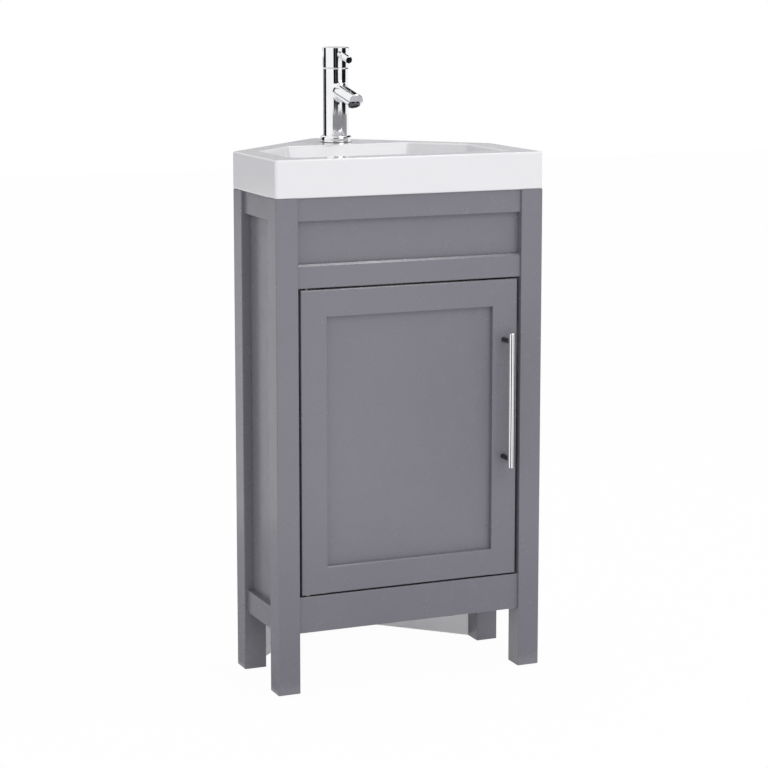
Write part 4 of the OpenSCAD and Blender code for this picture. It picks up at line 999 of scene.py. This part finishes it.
THREADS = [
    # name, material, slot, radius, pitch, foot and length
    ("waste_thread", chrome, "bright_chrome", 20.95, 2.309, at(0, WASTE_Y, 682), 48),
    ("stud_thread", zinc, "zinc_steel", 4.0, 1.25, at(0, TAP_Y + 10.5, 789), 29),
]
for name, material, slot, radius, pitch, foot, length in THREADS:
    sizes = {"Radius": radius * MM, "Turns": length / pitch, "Height": length * MM, "Crest": pitch * MM / 8}
    sizes["Foot"] = foot
    thread = run_tree(name, bpy.data.meshes.new(name), thread_tree(name, material), sizes, material)
    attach(thread, "carcass")
    print(name, round(length / pitch, 1), "turns,", len(thread.data.polygons), "faces")

# %% [markdown]
# ### Screws of the back panels
# The two back panels are screwed to the battens in the corners and to the edge of the cabinet floor, with
# countersunk screws that lie flush. One head is modelled, with its cross recess. The rows are drawn as edges, each
# with the direction that its heads face, and the nodes put a head at every step along them.

# %% One screw head
HEAD_RADIUS = 3.6
HEAD_PROUD = 0.3
CROSS = [(0.5, 2.0), (-0.5, 2.0), (-0.5, 0.5), (-2.0, 0.5), (-2.0, -0.5), (-0.5, -0.5)]
CROSS += [(-x, -y) for x, y in CROSS]


def screw_head():
    """A flush head with a cross recess, round the origin, its face to +Z."""
    mesh = bmesh.new()
    rim = []
    for radius, z in ((HEAD_RADIUS, 0), (HEAD_RADIUS - 0.1, HEAD_PROUD - 0.1), (HEAD_RADIUS - 0.3, HEAD_PROUD)):
        turns = [2 * math.pi * i / 20 for i in range(20)]
        rim.append(add_ring(mesh, [Vector((radius * math.cos(a), radius * math.sin(a), z)) * MM for a in turns]))
    skin(mesh, rim)
    recess = [add_ring(mesh, [Vector((x, y, z)) * MM for x, y in CROSS]) for z in (HEAD_PROUD, 0.03)]
    skin(mesh, recess)
    mesh.faces.new(recess[1])
    fill_between(mesh, [rim[-1], recess[0]], 1)
    bmesh.ops.recalc_face_normals(mesh, faces=mesh.faces)
    data = bpy.data.meshes.new("screw head")
    mesh.to_mesh(data)
    mesh.free()
    data.materials.append(zinc)
    made = bpy.data.objects.new("screw head", data)
    bpy.context.collection.objects.link(made)
    return made


# %% Rows of screws
PANEL_T = 12
PANEL_END_X = 192
SCREW_STEP = 0.13


def on_panel(along, z, side):
    """A point on the wall side of a back panel: that far from the rear post, at that height, right 1 or left -1."""
    x = PANEL_END_X + (PANEL_T - along) / ROOT2
    return at(side * x, SIDE_DEPTH + (PANEL_T + along) / ROOT2, z)


rows = []
for side in (-1, 1):
    facing = Vector((side / ROOT2, 1 / ROOT2, 0))
    rows.append((on_panel(10, 180, side), on_panel(10, 700, side), facing))
    rows.append((on_panel(45, 143, side), on_panel(235, 143, side), facing))
row_data = bpy.data.meshes.new("screw rows")
row_data.from_pydata([tuple(p) for row in rows for p in row[:2]], [(2 * i, 2 * i + 1) for i in range(len(rows))], [])
facing_data = row_data.attributes.new("facing", "FLOAT_VECTOR", "POINT")
for i, row in enumerate(rows):
    facing_data.data[2 * i].vector = facing_data.data[2 * i + 1].vector = row[2]


def screw_tree(material):
    """A head at every Step along the edges, turned so that it faces the way that the edge says."""
    tree, given, result = start_tree("screws along edges", [("Head", "Object"), ("Step", "Float")])
    path = node(tree, "GeometryNodeMeshToCurve")
    tree.links.new(given.outputs["Geometry"], path.inputs[0])
    steps = node(tree, "GeometryNodeResampleCurve", mode="LENGTH")
    tree.links.new(path.outputs[0], steps.inputs["Curve"])
    tree.links.new(given.outputs["Step"], steps.inputs["Length"])
    facing = node(tree, "GeometryNodeInputNamedAttribute", data_type="FLOAT_VECTOR")
    facing.inputs["Name"].default_value = "facing"
    turn = node(tree, "FunctionNodeAlignRotationToVector", axis="Z")
    tree.links.new(facing.outputs["Attribute"], turn.inputs["Vector"])
    head = node(tree, "GeometryNodeObjectInfo")
    tree.links.new(given.outputs["Head"], head.inputs["Object"])
    put = node(tree, "GeometryNodeInstanceOnPoints")
    tree.links.new(steps.outputs[0], put.inputs["Points"])
    tree.links.new(head.outputs["Geometry"], put.inputs["Instance"])
    tree.links.new(turn.outputs[0], put.inputs["Rotation"])
    end_tree(tree, put.outputs[0], material, result)
    return tree


one_head = screw_head()
head_faces = len(one_head.data.polygons)
screws = run_tree("panel_screws", row_data, screw_tree(zinc), {"Head": one_head, "Step": SCREW_STEP}, zinc)
bpy.data.objects.remove(one_head)
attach(screws, "carcass")
print("panel screws:", len(screws.data.polygons) // head_faces)
